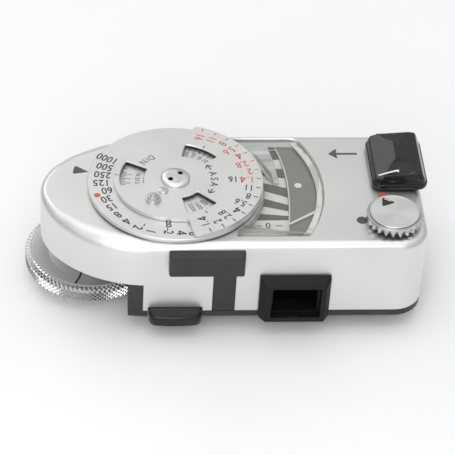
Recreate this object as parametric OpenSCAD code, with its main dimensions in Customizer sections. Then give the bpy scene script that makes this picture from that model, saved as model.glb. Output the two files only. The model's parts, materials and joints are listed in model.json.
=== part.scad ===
// Clip-on exposure meter for a rangefinder camera.
// It stands on an accessory-shoe foot, and a knurled wheel beneath its nose takes the
// camera's shutter speed up to a calculator dial on the top.
// The frame's origin is the centre of the foot's underside, +Z up, +X along the body
// towards the switch, and the light window faces -Y.

/* [Body] */
// Height of the casing's top face above the foot's underside
body_top = 21.0; // [20:0.1:22]
// Height of the silver casing's lower edge
casing_bottom = 4.7; // [4.5:0.1:5]
// Front to back size of the casing
body_depth = 32.7; // [32:0.1:34]
// Middle of the casing, front to back, from the dial's axis
body_mid_y = -0.55; // [-0.8:0.05:-0.3]
// Left end of the nose
nose_tip_x = -43.3; // [-44:0.1:-43]
// Right end of the casing
right_end_x = 28.8; // [28.6:0.1:29]
// Thickness of the casing's walls
wall = 1.0; // [0.8:0.1:1.2]
// Thickness of the casing's roof
roof = 0.9; // [0.7:0.1:1]
// Rounding of the casing's top edge
edge_round = 1.7; // [1.2:0.1:2]
// Where the deep part of the casing starts, right of the wheel
step_x = -24.2; // [-24.4:0.1:-24]
// Height of the nose's lower edge above the foot's underside
nose_bottom = 11.2; // [11:0.1:11.4]

/* [Foot] */
// Width of the foot across the shoe's rails
foot_w = 18.6; // [18.4:0.1:18.6]
// Length of the foot along the shoe's rails
foot_len = 18; // [16:0.5:20]
// Thickness of the foot
foot_t = 2.0; // [1.9:0.05:2.05]
// Width of the neck between the shoe's rails
neck_w = 12.2; // [11:0.1:12.4]

/* [Dial] */
// Radius of the shutter-speed disc
speed_disc_r = 16.5; // [16:0.1:16.6]
// Radius of the small part of the calculator disc
film_disc_r = 11.6; // [11.2:0.1:12]
// Top of the speed disc
speed_disc_top = 22.1; // [22:0.05:22.2]
// Thickness of the calculator disc
film_disc_t = 0.8; // [0.7:0.05:0.9]
// Start of the calculator disc's wide sector, in degrees
sector_start = -80; // [-84:1:-76]
// End of the calculator disc's wide sector, in degrees
sector_end = 75; // [72:1:78]

/* [Coupling wheel] */
// Radius of the wheel
wheel_r = 12.5; // [12.2:0.1:12.6]
// Lower edge of the wheel's rim
wheel_bottom = 2.6; // [2.5:0.05:2.8]
// Height of the wheel's knurled rim
wheel_rim = 3.5; // [3:0.1:3.5]
// Distance that the wheel lifts
wheel_travel = 1.6; // [1:0.1:1.6]

/* [Meter movement] */
// Distance of the needle's pivot from the dial's axis
pivot_offset = 35.8; // [35.5:0.1:36]
// Length of the needle from its pivot to its tip
needle_len = 18; // [17:0.1:18.2]
// Direction of the needle at rest, in degrees
needle_rest = 214; // [212:1:216]

/* [Controls] */
// Radius of the range knob over its teeth
knob_r = 5.2; // [5.1:0.05:5.3]
// Ridges round the range knob
knob_ridges = 22; // [18:1:26]
// Length of the switch block along the body
switch_len = 10.7; // [10:0.1:11]
// Width of the switch block across the body
switch_w = 14.5; // [14:0.1:15]
// Height of the switch block above the casing
switch_h = 4.3; // [4:0.1:4.6]
// Distance that the switch block slides
switch_travel = 3.0; // [2:0.1:3]

/* [Hidden] */
$fn = 64;

over = 0.1;
fit_gap = 0.03;

silver = [0.83, 0.83, 0.82];
bright = [0.88, 0.88, 0.86];
black = [0.16, 0.16, 0.16];
gloss_black = [0.1, 0.1, 0.1];
steel = [0.62, 0.62, 0.64];
brass = [0.78, 0.62, 0.3];
copper = [0.72, 0.4, 0.22];
off_white = [0.88, 0.88, 0.85];
dark_grey = [0.45, 0.45, 0.43];
clear = [0.8, 0.88, 0.9, 0.35];
board_brown = [0.45, 0.28, 0.12];

// The casing's outline: a right end with two round corners, and a nose made of two wide
// arcs that meet a smaller one.
front_y = body_mid_y - body_depth / 2;
back_y = body_mid_y + body_depth / 2;
corner_r = 5.5;
flank_r = 22;
flank_angle = 50;
nose_r = flank_r - (flank_r - body_depth / 2) / cos(flank_angle);
nose_x = nose_tip_x + nose_r;
flank_x = nose_x + (flank_r - nose_r) * sin(flank_angle);

base_bottom = foot_t + 1.4;
base_inner = casing_bottom + 0.9;
roof_bottom = body_top - roof;

dial_x = -18;
pinion_teeth = 16;
gear_teeth = 47;
tooth_module = 0.5;
wheel_x = dial_x - tooth_module * (pinion_teeth + gear_teeth) / 2;
pivot_x = dial_x + pivot_offset;
pivot_y = 0.4;

film_disc_bottom = speed_disc_top + 0.05;
film_disc_top = film_disc_bottom + film_disc_t;
spindle_r = 1.5;
shoulder_r = 2.0;

gear_bottom = 14.6;
gear_t = 1.4;
pinion_bottom = 13.4;
pinion_t = 3.0;

window_inner_r = 16.8;
window_outer_r = 28;
window_left_x = -6.9;
window_back_y = 14.4;
window_front_y = -14.2;
field_top = 19.5;
lens_bottom = 20.3;
lens_top = 20.9;
needle_bottom = 19.72;
needle_t = 0.2;

tab_travel = 1.8;
tab_left_x = -23.1;
tab_right_x = -13.2;
tab_gap = 0.2;
tab_bottom = 3.0;
tab_top = 5.3;
tab_back_top = 5.6;
tab_reach = 2.6;
tab_corner = 1.4;
arm_left_x = -21.8;
arm_w = 2.4;
arm_bottom = 3.6;
arm_top = 4.5;
ramp_low = 3.9;
ramp_end_y = -6.0;
ramp_len = 3.0;
ramp_foot_y = ramp_end_y - ramp_len - 1.9;
ramp_slope = wheel_travel / tab_travel;

bar_left = -19.7;
bar_right = -5.6;
bar_bottom = 14.6;
bar_top = 19.8;
bar_reach = 1.5;
stem_left = -11.3;
stem_right = -7.0;

hood_left = -2.6;
hood_right = 10.7;
hood_top = 13.6;
hood_bottom = 3.5;
hood_back_y = -13.5;
tunnel = [-0.4, 8.9, 4.6, 11.7];

knob_x = 22.3;
knob_y = -10.35;
knob_t = 2.1;
shaft_r = 1.2;
cell_x = 18.6;
cell_y = 4.5;
switch_left = 19.25;
switch_front = -1.6;
post_x = 24.4;
post_w = 1.8;
post_y = [3.0, 8.0];
post_len = 1.6;

foot_screw_x = 4.2;
foot_screw_y = 5.5;
base_screw_at = [[25.9, -13.3], [25.9, 12.3], [-5, -14.6], [-8, 13.5]];
guide_post_at = [[12.8, 13.0], [23.6, 13.4]];

// Points along an arc about a centre.
function arc_points(cx, cy, r, from, to, n) =
    [for (i = [0:n]) let (a = from + (to - from) * i / n) [cx + r * cos(a), cy + r * sin(a)]];

function body_outline(inset) = concat(
    arc_points(right_end_x - corner_r, front_y + corner_r, corner_r - inset, -90, 0, 8),
    arc_points(right_end_x - corner_r, back_y - corner_r, corner_r - inset, 0, 90, 8),
    arc_points(flank_x, back_y - flank_r, flank_r - inset, 90, 90 + flank_angle, 10),
    arc_points(nose_x, body_mid_y, nose_r - inset, 90 + flank_angle + 5, 265 - flank_angle, 14),
    arc_points(flank_x, front_y + flank_r, flank_r - inset, 270 - flank_angle, 270, 10)
);

module body_prism(inset, from_z, to_z) {
    translate([0, 0, from_z]) linear_extrude(to_z - from_z) polygon(body_outline(inset));
}

module box(low, high) {
    translate(low) cube(high - low);
}

module disc(r, from_z, to_z, at = [0, 0]) {
    translate([at[0], at[1], from_z]) cylinder(r = r, h = to_z - from_z);
}

module ring(outer_r, inner_r, from_z, to_z, at = [0, 0]) {
    difference() {
        disc(outer_r, from_z, to_z, at);
        disc(inner_r, from_z - over, to_z + over, at);
    }
}

// Part of a ring between two angles, about the local origin.
module ring_sector(inner_r, outer_r, from, to, from_z, to_z) {
    translate([0, 0, from_z]) rotate([0, 0, from])
        rotate_extrude(angle = to - from) translate([inner_r, 0]) square([outer_r - inner_r, to_z - from_z]);
}

// A spur gear's outline: straight-sided teeth with a little play at the pitch circle.
function gear_outline(teeth, m) =
    let (pitch_r = m * teeth / 2, step = 360 / teeth)
    [for (i = [0:teeth - 1]) let (a = i * step)
        each [
            [a - step * 0.27, pitch_r - 1.15 * m],
            [a - step * 0.20, pitch_r],
            [a - step * 0.10, pitch_r + 0.85 * m],
            [a + step * 0.10, pitch_r + 0.85 * m],
            [a + step * 0.20, pitch_r],
            [a + step * 0.27, pitch_r - 1.15 * m]
        ]];

module spur_gear(teeth, bore_r, from_z, to_z) {
    difference() {
        translate([0, 0, from_z]) linear_extrude(to_z - from_z)
            polygon([for (p = gear_outline(teeth, tooth_module)) [p[1] * cos(p[0]), p[1] * sin(p[0])]]);
        disc(bore_r, from_z - over, to_z + over);
    }
}

// A coil spring standing on the local XY plane.
module coil_spring(coil_r, wire_r, turns, height) {
    sides = 6;
    steps = turns * 16;
    points = [for (i = [0:steps], k = [0:sides - 1])
        let (a = i * 360 * turns / steps, b = k * 360 / sides)
        [(coil_r + wire_r * cos(b)) * cos(a), (coil_r + wire_r * cos(b)) * sin(a),
         wire_r + (height - 2 * wire_r) * i / steps + wire_r * sin(b)]];
    walls = [for (i = [0:steps - 1], k = [0:sides - 1])
        let (n = (k + 1) % sides)
        [i * sides + k, (i + 1) * sides + k, (i + 1) * sides + n, i * sides + n]];
    first_cap = [for (k = [0:sides - 1]) k];
    last_cap = [for (k = [sides - 1:-1:0]) steps * sides + k];
    polyhedron(points, concat(walls, [first_cap, last_cap]));
}

// A countersunk screw that points up, with its slot underneath.
module countersunk_screw(head_r, shank_r, from_z, to_z) {
    difference() {
        union() {
            disc(head_r, from_z, from_z + 0.2);
            translate([0, 0, from_z + 0.2]) cylinder(r1 = head_r, r2 = shank_r, h = head_r - shank_r);
            disc(shank_r, from_z + 0.2, to_z);
        }
        box([-head_r - over, -0.15, from_z - over], [head_r + over, 0.15, from_z + 0.3]);
    }
}

// The hole for such a screw.
module countersink(head_r, shank_r, from_z, to_z) {
    disc(head_r + 0.05, from_z - 1, from_z + 0.2);
    translate([0, 0, from_z + 0.2])
        cylinder(r1 = head_r + 0.05, r2 = shank_r + 0.05, h = head_r - shank_r);
    disc(shank_r + fit_gap, from_z, to_z);
}

// The needle window: the part of a ring about the dial that lies over the movement.
module window_area(inset, from_z, to_z) {
    intersection() {
        ring(window_outer_r - inset, window_inner_r + inset, from_z, to_z, [dial_x, 0]);
        box([window_left_x + inset, window_front_y + inset, from_z - over],
            [window_outer_r, window_back_y - inset, to_z + over]);
    }
}

// ---- casing -----------------------------------------------------------------------------

module casing_shell() {
    difference() {
        hull() {
            body_prism(0, casing_bottom, body_top - edge_round);
            for (a = [30:30:90])
                let (z = body_top - edge_round + edge_round * sin(a))
                body_prism(edge_round * (1 - cos(a)), z - 0.15, z);
        }
        difference() {
            body_prism(wall, casing_bottom - over, roof_bottom);
            for (p = base_screw_at) disc(1.6, base_inner + 0.05, 12, p);
        }
        box([nose_tip_x - 1, front_y - 1, casing_bottom - over], [step_x, back_y + 1, nose_bottom]);
    }
}

module top_casing() {
    color(silver) difference() {
        casing_shell();
        window_area(0, roof_bottom - over, body_top + over);
        disc(3.0, roof_bottom - over, body_top + over, [dial_x, 0]);
        disc(shaft_r + 0.05, roof_bottom - over, body_top + over, [knob_x, knob_y]);
        for (y = post_y)
            box([post_x - switch_travel - 0.25, y - 0.2, roof_bottom - over],
                [post_x + post_w + 0.25, y + post_len + 0.2, body_top + over]);
        for (p = base_screw_at) disc(0.62, base_inner, 10.5, p);
        box([stem_left, front_y - 1, casing_bottom - over], [stem_right, front_y + wall + over, bar_bottom]);
        box([tab_left_x - tab_gap, front_y - 1, casing_bottom - over],
            [tab_right_x + tab_gap, front_y + wall + over, tab_back_top + 0.1]);
        box([hood_left, front_y - 1, casing_bottom - over], [hood_right, front_y + wall + over, hood_top]);
    }
}

module base_plate() {
    color(black) difference() {
        union() {
            intersection() {
                body_prism(0, base_bottom, nose_bottom);
                union() {
                    box([step_x, front_y - 1, base_bottom], [right_end_x + 1, back_y + 1, casing_bottom]);
                    box([step_x - 2.8, front_y - 1, base_bottom], [step_x + over, front_y + 3, casing_bottom]);
                    box([step_x - 2.8, front_y - 1, base_bottom], [step_x, front_y + 3, nose_bottom]);
                    box([step_x - 2.8, back_y - 3, base_bottom], [step_x + over, back_y + 1, casing_bottom]);
                    box([step_x - 2.8, back_y - 3, base_bottom], [step_x, back_y + 1, nose_bottom]);
                }
            }
            intersection() {
                body_prism(wall + 0.05, casing_bottom - over, base_inner);
                box([step_x + 0.1, front_y, 0], [right_end_x, back_y, base_inner]);
            }
        }
        disc(wheel_r + 0.6, 0, nose_bottom + 1, [wheel_x, 0]);
        box([tab_left_x - tab_gap, front_y - 1, 0], [tab_right_x + tab_gap, front_y + 3, base_inner + over]);
        box([arm_left_x - 0.3, front_y, 0], [arm_left_x + arm_w + 0.3, ramp_foot_y, casing_bottom - over]);
        box([arm_left_x - 0.3, ramp_foot_y, 0], [arm_left_x + arm_w + 0.3, ramp_end_y + arm_w, base_inner + over]);
        box([hood_left, front_y - 1, 0], [hood_right, hood_back_y, base_inner + over]);
        box([tunnel[0] - 0.6, hood_back_y - over, base_bottom + 0.6], [tunnel[1] + 0.6, -7.7, base_inner + over]);
        disc(9.05, base_bottom - over, base_bottom + 0.95, [cell_x, cell_y]);
        disc(8.55, base_bottom, base_inner + over, [cell_x, cell_y]);
        for (x = [-1, 1], y = [-1, 1])
            disc(0.83, base_bottom - over, base_inner + over, [x * foot_screw_x, y * foot_screw_y]);
        for (p = base_screw_at)
            translate([p[0], p[1], 0]) countersink(1.3, 0.6, base_bottom + 0.05, base_inner + over);
    }
}

// The floor of the nose, with the web that closes the deep part of the casing.
module nose_plate() {
    color(black) difference() {
        union() {
            intersection() {
                body_prism(wall + 0.05, nose_bottom + 0.2, nose_bottom + 1.2);
                box([nose_tip_x, front_y, 0], [step_x + 1, back_y, 20]);
            }
            intersection() {
                body_prism(wall + 0.05, base_inner + 0.05, nose_bottom + 1.2);
                box([step_x + 0.1, front_y, 0], [step_x + 1, back_y, 20]);
            }
        }
        disc(2.6, 0, 20, [wheel_x, 0]);
        disc(wheel_r + 0.6, 0, 8.6, [wheel_x, 0]);
        box([step_x - 1, -10.8, 0], [step_x + 2, -1.5, 10.4]);
    }
}

// The bar on the front wall, with a sloping top edge.
module front_bar() {
    slope = 0.5;
    color(black) hull() {
        box([bar_left, front_y - 0.6, bar_bottom], [bar_right, front_y, bar_top]);
        box([bar_left + 0.2, front_y - bar_reach, bar_bottom + 0.15],
            [bar_right - 0.2, front_y - bar_reach + 0.2, bar_top - slope]);
    }
}

module bar_stem() {
    color(black) box([stem_left, front_y, casing_bottom], [stem_right, front_y + wall, bar_bottom]);
}

// ---- light window -------------------------------------------------------------------------

module cell_hood() {
    color(black) difference() {
        union() {
            hull() {
                box([hood_left, front_y - 0.4, hood_bottom], [hood_right, front_y, hood_top]);
                box([hood_left + 1.0, front_y - 2.0, hood_bottom + 0.2],
                    [hood_right - 0.9, front_y - 1.9, hood_top - 1.2]);
            }
            box([hood_left, front_y - 0.2, hood_bottom], [hood_right, hood_back_y, hood_top]);
        }
        box([tunnel[0], front_y - 3, tunnel[2]], [tunnel[1], hood_back_y + over, tunnel[3]]);
    }
}

module cell_baffle() {
    rib = 0.4;
    color(black) for (y = [-17.6, -16.2, -14.9]) difference() {
        box([tunnel[0], y, tunnel[2]], [tunnel[1], y + 0.35, tunnel[3]]);
        box([tunnel[0] + rib, y - over, tunnel[2] + rib], [tunnel[1] - rib, y + 1, tunnel[3] - rib]);
    }
}

module cell_window() {
    color(clear) box([tunnel[0] - 0.3, hood_back_y, tunnel[2] - 0.3],
                     [tunnel[1] + 0.3, hood_back_y + 0.6, tunnel[3] + 0.3]);
}

// The light cell: a round can with its two leads.
module photo_cell() {
    mid_x = (tunnel[0] + tunnel[1]) / 2;
    mid_z = (tunnel[2] + tunnel[3]) / 2;
    can_y = hood_back_y + 0.6;
    color(copper) {
        translate([mid_x, can_y + 2.4, mid_z]) rotate([90, 0, 0]) cylinder(r = 3.1, h = 2.4);
        for (s = [-1, 1])
            translate([mid_x + s * 1.3, can_y + 5, mid_z]) rotate([90, 0, 0]) cylinder(r = 0.25, h = 2.7);
    }
}

// ---- release tab and wheel lift -----------------------------------------------------------

// A finger pad with a sloping top, and the arm behind it that ends in a ramp.
module release_tab() {
    ramp_top = ramp_low + ramp_len * ramp_slope;
    ramp_y = ramp_end_y - ramp_len;
    arm = [[front_y + 0.4, arm_bottom], [ramp_end_y, arm_bottom], [ramp_end_y, ramp_low], [ramp_y, ramp_top],
           [ramp_y - 1.2, ramp_top], [ramp_y - 1.2, arm_top], [front_y + 0.4, arm_top]];
    color(gloss_black) {
        hull() for (x = [tab_left_x + tab_corner, tab_right_x - tab_corner]) {
            disc(tab_corner, tab_bottom, tab_top, [x, front_y - tab_reach + tab_corner]);
            box([x - tab_corner, front_y - 0.1, tab_bottom], [x + tab_corner, front_y + 0.9, tab_back_top]);
        }
        translate([arm_left_x, 0, 0]) rotate([90, 0, 90]) linear_extrude(arm_w) polygon(arm);
    }
}

// A plate under the spindle's collar, raised by the tab's ramp.
module lift_plate() {
    plate_low = 7.45;
    plate_high = 8.4;
    face_y = ramp_end_y - 0.4;
    foot_low = ramp_low + 0.4 * ramp_slope + 0.06;
    follower = [[face_y - 2, foot_low + 2 * ramp_slope], [face_y, foot_low], [face_y + 0.6, foot_low],
                [face_y + 0.6, plate_high], [face_y - 2, plate_high]];
    color(steel) difference() {
        union() {
            hull() {
                disc(3.4, plate_low, plate_high, [wheel_x, 0]);
                box([arm_left_x - 0.2, face_y - 2.6, plate_low], [arm_left_x + arm_w, face_y + 0.6, plate_high]);
            }
            translate([arm_left_x + 0.2, 0, 0]) rotate([90, 0, 90]) linear_extrude(arm_w - 0.4) polygon(follower);
        }
        disc(spindle_r + 0.05, plate_low - over, plate_high + over, [wheel_x, 0]);
    }
}

module wheel_spring() {
    color(steel) translate([wheel_x, 0, 9.45]) coil_spring(3.15, 0.18, 2.5, nose_bottom + 0.15 - 9.45);
}

// ---- coupling wheel -----------------------------------------------------------------------

// The wheel's half section: a knurled rim, a dished top, a hollow underside and a hub.
module coupling_wheel() {
    rim_top = wheel_bottom + wheel_rim;
    hub_r = 4.2;
    hub_top = 7.3;
    web = wheel_bottom + 1.2;
    dish = rim_top - 1.1;
    section = [[spindle_r, web], [wheel_r - 1.6, web], [wheel_r - 1.3, wheel_bottom],
               [wheel_r - 0.4, wheel_bottom], [wheel_r, wheel_bottom + 0.3], [wheel_r, rim_top - 0.8],
               [wheel_r - 1.0, rim_top], [wheel_r - 1.3, rim_top], [wheel_r - 4.6, dish],
               [hub_r, dish], [hub_r, hub_top], [spindle_r, hub_top]];
    color(bright) translate([wheel_x, 0, 0]) rotate_extrude() polygon(section);
}

module wheel_spindle() {
    color(steel) {
        disc(spindle_r, wheel_bottom + 0.2, 18.2, [wheel_x, 0]);
        ring(3.6, spindle_r - 0.2, 8.5, 9.35, [wheel_x, 0]);
    }
}

module wheel_pinion() {
    color(brass) translate([wheel_x, 0, 0])
        spur_gear(pinion_teeth, spindle_r, pinion_bottom, pinion_bottom + pinion_t);
}

// The pin that drops into the hole of the camera's shutter-speed dial.
module coupling_pin() {
    color(steel) rotate_about_wheel(-70) disc(1.0, 0.9, wheel_bottom + 1.2, [6.8, 0]);
}

module rotate_about_wheel(a) {
    translate([wheel_x, 0, 0]) rotate([0, 0, a]) children();
}

module wheel_nut() {
    color(steel) difference() {
        ring(3.0, spindle_r, wheel_bottom + 0.3, wheel_bottom + 1.2, [wheel_x, 0]);
        for (s = [-1, 1]) disc(0.4, 0, wheel_bottom + 0.9, [wheel_x, s * 2.2]);
    }
}

module wheel_bush() {
    color(brass) difference() {
        union() {
            disc(2.6, nose_bottom + 0.15, nose_bottom + 1.7, [wheel_x, 0]);
            disc(3.4, nose_bottom + 1.2, nose_bottom + 1.7, [wheel_x, 0]);
        }
        disc(spindle_r + fit_gap, 10, 14, [wheel_x, 0]);
    }
}

// ---- dial -----------------------------------------------------------------------------------

module dial_bush() {
    color(brass) ring(3.0, spindle_r + fit_gap, 16.6, body_top + 0.05, [dial_x, 0]);
}

module dial_spindle() {
    color(steel) difference() {
        disc(spindle_r, 13.2, speed_disc_top, [dial_x, 0]);
        disc(0.8, 18, speed_disc_top + over, [dial_x, 0]);
    }
}

module speed_gear() {
    color(brass) translate([dial_x, 0, 0]) {
        spur_gear(gear_teeth, spindle_r, gear_bottom, gear_bottom + gear_t);
        ring(3.2, spindle_r, gear_bottom - 0.9, gear_bottom);
    }
}

module speed_disc() {
    color(silver) ring(speed_disc_r, spindle_r, body_top + 0.25, speed_disc_top, [dial_x, 0]);
}

// The upper disc: a wide sector with the aperture scale, and three windows over the
// film-speed scales of the disc below.
module calculator_disc() {
    color(bright) translate([dial_x, 0, 0]) difference() {
        union() {
            disc(film_disc_r, film_disc_bottom, film_disc_top);
            ring_sector(film_disc_r - 1, speed_disc_r, sector_start, sector_end, film_disc_bottom, film_disc_top);
        }
        disc(shoulder_r + fit_gap, film_disc_bottom - over, film_disc_top + over);
        ring_sector(6.0, 10.4, 150, 191, film_disc_bottom - over, film_disc_top + over);
        ring_sector(6.9, 10.5, 39, 77, film_disc_bottom - over, film_disc_top + over);
        ring_sector(5.5, 10.1, -79, -43, film_disc_bottom - over, film_disc_top + over);
    }
}

module centre_screw() {
    head_r = 2.75;
    head_bottom = film_disc_top + 0.05;
    color(bright) translate([dial_x, 0, 0]) difference() {
        union() {
            disc(head_r, head_bottom, head_bottom + 0.35);
            translate([0, 0, head_bottom + 0.35]) cylinder(r1 = head_r, r2 = head_r - 0.6, h = 0.3);
            disc(shoulder_r, speed_disc_top, head_bottom);
            disc(0.8, 18.2, speed_disc_top);
        }
        for (s = [-1, 1]) rotate([0, 0, 42]) disc(0.4, head_bottom + 0.1, head_bottom + 1, [s * 1.3, 0]);
    }
}

module index_rivet() {
    color(steel) translate([dial_x - 2.4, -3.6, 0]) {
        disc(0.95, film_disc_top, film_disc_top + 0.2);
        translate([0, 0, film_disc_top + 0.2]) cylinder(r1 = 0.95, r2 = 0.6, h = 0.15);
    }
}

// The stepped stud that turns the calculator disc.
module film_speed_button() {
    color(steel) translate([dial_x - 4.4, -6.1, 0]) {
        disc(1.47, film_disc_top, film_disc_top + 0.5);
        disc(1.05, film_disc_top + 0.5, film_disc_top + 0.95);
        disc(0.6, film_disc_top + 0.95, film_disc_top + 1.3);
    }
}

// ---- needle window and movement -----------------------------------------------------------

module window_lens() {
    block_bottom = 19.1;
    color(clear) {
        window_area(0.08, lens_bottom, lens_top);
        difference() {
            window_area(0.5, block_bottom, lens_bottom);
            disc(needle_len + 0.7, block_bottom - over, lens_bottom + over, [pivot_x, pivot_y]);
            box([1.8, -20, block_bottom - over], [20, 20, lens_bottom + over]);
        }
    }
}

module window_frame() {
    color(off_white) difference() {
        window_area(0.1, lens_bottom - 0.3, lens_bottom);
        disc(window_outer_r - 1.2, field_top - 1, lens_bottom + over, [dial_x, 0]);
    }
}

module needle_field_plate() {
    color(dark_grey) intersection() {
        disc(window_outer_r - 1.25, field_top - 0.3, field_top, [dial_x, 0]);
        difference() {
            box([0, -11.6, field_top - 0.4], [12, 14.2, field_top + over]);
            disc(73, field_top - 1, field_top + 1, [3.4 - 73, 0]);
        }
    }
}

module scale_band_plate() {
    color(off_white) difference() {
        box([window_left_x - 0.3, -14, 18.6], [4.6, 14, 18.9]);
        disc(15.2, 18, 20, [dial_x, 0]);
    }
}

module movement_frame() {
    color(brass) difference() {
        union() {
            disc(6.2, 12.5, 13.1, [pivot_x, pivot_y]);
            for (s = [-1, 1]) disc(1.4, 12.5, 13.1, [pivot_x + s * 6.6, pivot_y]);
        }
        disc(0.9, 12, 14, [pivot_x, pivot_y]);
    }
}

module movement_bridge() {
    color(brass) difference() {
        union() {
            box([pivot_x - 6.6, pivot_y - 1.2, 17.7], [pivot_x + 6.6, pivot_y + 1.2, 18.3]);
            for (s = [-1, 1]) disc(0.7, 13.1, 17.7, [pivot_x + s * 6.6, pivot_y]);
        }
        disc(0.9, 17, 19, [pivot_x, pivot_y]);
    }
}

module pivot_jewels() {
    color([0.7, 0.15, 0.2]) {
        ring(0.9, 0.33, 17.7, 18.3, [pivot_x, pivot_y]);
        difference() {
            disc(0.9, 12.5, 13.1, [pivot_x, pivot_y]);
            disc(0.33, 12.8, 14, [pivot_x, pivot_y]);
        }
    }
}

module yoke_ring() {
    color(steel) ring(5.6, 4.6, 13.1, 17.0, [pivot_x, pivot_y]);
}

// The core inside the coil, held to the ring by a web that the coil's swing clears.
module core_magnet() {
    color(dark_grey) {
        disc(3.0, 13.75, 16.65, [pivot_x, pivot_y]);
        box([pivot_x - 4.55, pivot_y - 0.6, 14.8], [pivot_x + 4.55, pivot_y + 0.6, 15.6]);
    }
}

module about_pivot(a) {
    translate([pivot_x, pivot_y, 0]) rotate([0, 0, a]) children();
}

module moving_coil() {
    color(copper) about_pivot(needle_rest) difference() {
        box([-0.8, -4.4, 13.3], [0.8, 4.4, 17.1]);
        box([-1, -3.15, 13.6], [1, 3.15, 16.8]);
    }
}

module pivot_staff() {
    color(steel) {
        disc(0.3, 12.85, 13.3, [pivot_x, pivot_y]);
        disc(0.3, 17.1, 19.95, [pivot_x, pivot_y]);
    }
}

module needle() {
    top = needle_bottom + needle_t;
    color(off_white) about_pivot(needle_rest) difference() {
        union() {
            disc(1.0, needle_bottom - 0.2, top);
            translate([0, 0, needle_bottom]) linear_extrude(needle_t)
                polygon([[-2.4, -0.3], [0, -0.45], [needle_len, -0.18], [needle_len, 0.18], [0, 0.45], [-2.4, 0.3]]);
            disc(0.6, needle_bottom - 0.3, top, [-2.2, 0]);
        }
        disc(0.3, needle_bottom - 1, top + 1);
    }
}

module hairspring() {
    turns = 3.5;
    steps = 70;
    wire = 0.06;
    function spiral(side) = [for (i = [0:steps])
        let (a = 360 * turns * i / steps, r = 0.5 + 2.0 * i / steps + side * wire) [r * cos(a), r * sin(a)]];
    inner = spiral(-1);
    color(brass) translate([pivot_x, pivot_y, 17.25]) linear_extrude(0.25)
        polygon(concat(spiral(1), [for (i = [steps:-1:0]) inner[i]]));
}

// ---- switch ---------------------------------------------------------------------------------

// A block with a ridge across it and two sloping sides.
module switch_slide() {
    low = body_top + 0.15;
    back = switch_front + switch_w;
    right = switch_left + switch_len;
    ridge = switch_left + 4.9;
    top = low + switch_h - 0.15;
    color(gloss_black) hull() {
        box([switch_left + 0.5, switch_front + 0.5, low], [right - 0.5, back - 0.5, low + 0.1]);
        box([switch_left, switch_front, low + 0.6], [right, back, low + 1.3]);
        box([ridge - 0.3, switch_front + 1.2, top - 0.1], [ridge + 0.3, back - 1.5, top]);
        box([right - 1.8, switch_front + 1.2, top - 0.5], [right - 1.4, back - 1.5, top - 0.4]);
    }
}

module slide_carriage() {
    color(brass) {
        box([23.4, 1.4, 19.0], [27.1, 12.0, roof_bottom - 0.2]);
        for (y = post_y)
            box([post_x, y, roof_bottom - 0.2], [post_x + post_w, y + post_len, body_top + 0.15]);
        box([23.4, 9.9, 17.6], [24.1, 12.0, 19.0]);
    }
}

module slide_guide() {
    color(brass) {
        box([12.0, 9.4, 16.9], [26.0, 14.1, 17.3]);
        box([12.0, 9.8, 17.3], [12.6, 12.2, 19.4]);
        for (p = guide_post_at) disc(0.7, base_inner, 16.9, p);
    }
}

module slide_spring() {
    color(steel) translate([12.65, 10.95, 18.4]) rotate([0, 90, 0]) coil_spring(0.75, 0.13, 8, 10.7);
}

module switch_contacts() {
    color(copper) for (y = [12.4, 13.4]) {
        box([16, y, 17.3], [17, y + 0.5, 18.5]);
        box([17, y, 18.3], [25.5, y + 0.5, 18.5]);
    }
}

// ---- range knob -----------------------------------------------------------------------------

// A knob with V grooves round its lower part and a plain rim above them.
module range_knob() {
    low = body_top + 0.25;
    top = low + knob_t;
    tooth_top = low + 1.3;
    step = 360 / knob_ridges;
    groove_r = knob_r - 0.65;
    teeth = [for (i = [0:knob_ridges - 1])
        each [[knob_r * cos(i * step), knob_r * sin(i * step)],
              [groove_r * cos((i + 0.5) * step), groove_r * sin((i + 0.5) * step)]]];
    color(bright) translate([knob_x, knob_y, 0]) difference() {
        union() {
            translate([0, 0, low]) linear_extrude(tooth_top - low) polygon(teeth);
            disc(knob_r - 0.07, tooth_top, top);
        }
        disc(shaft_r, low - over, top + over);
    }
}

module knob_cap() {
    color(silver) disc(knob_r - 0.55, body_top + 0.25 + knob_t, body_top + 0.45 + knob_t, [knob_x, knob_y]);
}

module range_shaft() {
    color(steel) disc(shaft_r, 13.6, body_top + 0.25 + knob_t, [knob_x, knob_y]);
}

module range_wiper() {
    color(copper) translate([knob_x, knob_y, 0]) {
        difference() {
            union() {
                disc(2.0, 15.0, 15.8);
                rotate([0, 0, 90]) box([0, -0.5, 15.2], [4.0, 0.5, 15.5]);
            }
            disc(shaft_r, 14, 17);
        }
    }
}

module range_contacts() {
    color(board_brown) ring(4.3, 1.3, 14.0, 14.7, [knob_x, knob_y]);
}

// ---- circuit --------------------------------------------------------------------------------

module circuit_board() {
    color(board_brown) box([-4.5, -7.6, 12.6], [8.4, 13.6, 13.4]);
}

module resistors() {
    color([0.7, 0.55, 0.35]) for (i = [0:3]) translate([-2.5 + 2.9 * i, 5.0, 14.3])
        rotate([-90, 0, 0]) {
            cylinder(r = 0.9, h = 4.6);
            translate([0, 0, -1]) cylinder(r = 0.2, h = 6.6);
        }
}

module trim_pot() {
    color([0.2, 0.35, 0.6]) difference() {
        disc(2.6, 13.4, 15.2, [1.5, -2.5]);
        box([-0.5, -2.75, 14.8], [3.5, -2.25, 16]);
    }
}

module battery() {
    color(steel) {
        disc(7.75, 5.6, 11.2, [cell_x, cell_y]);
        disc(6.4, 5.3, 5.6, [cell_x, cell_y]);
    }
}

module battery_holder() {
    color(black) difference() {
        disc(8.7, base_inner, 12.3, [cell_x, cell_y]);
        disc(7.9, base_inner - over, 11.5, [cell_x, cell_y]);
        disc(3.4, 11, 13, [cell_x, cell_y]);
    }
}

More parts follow.
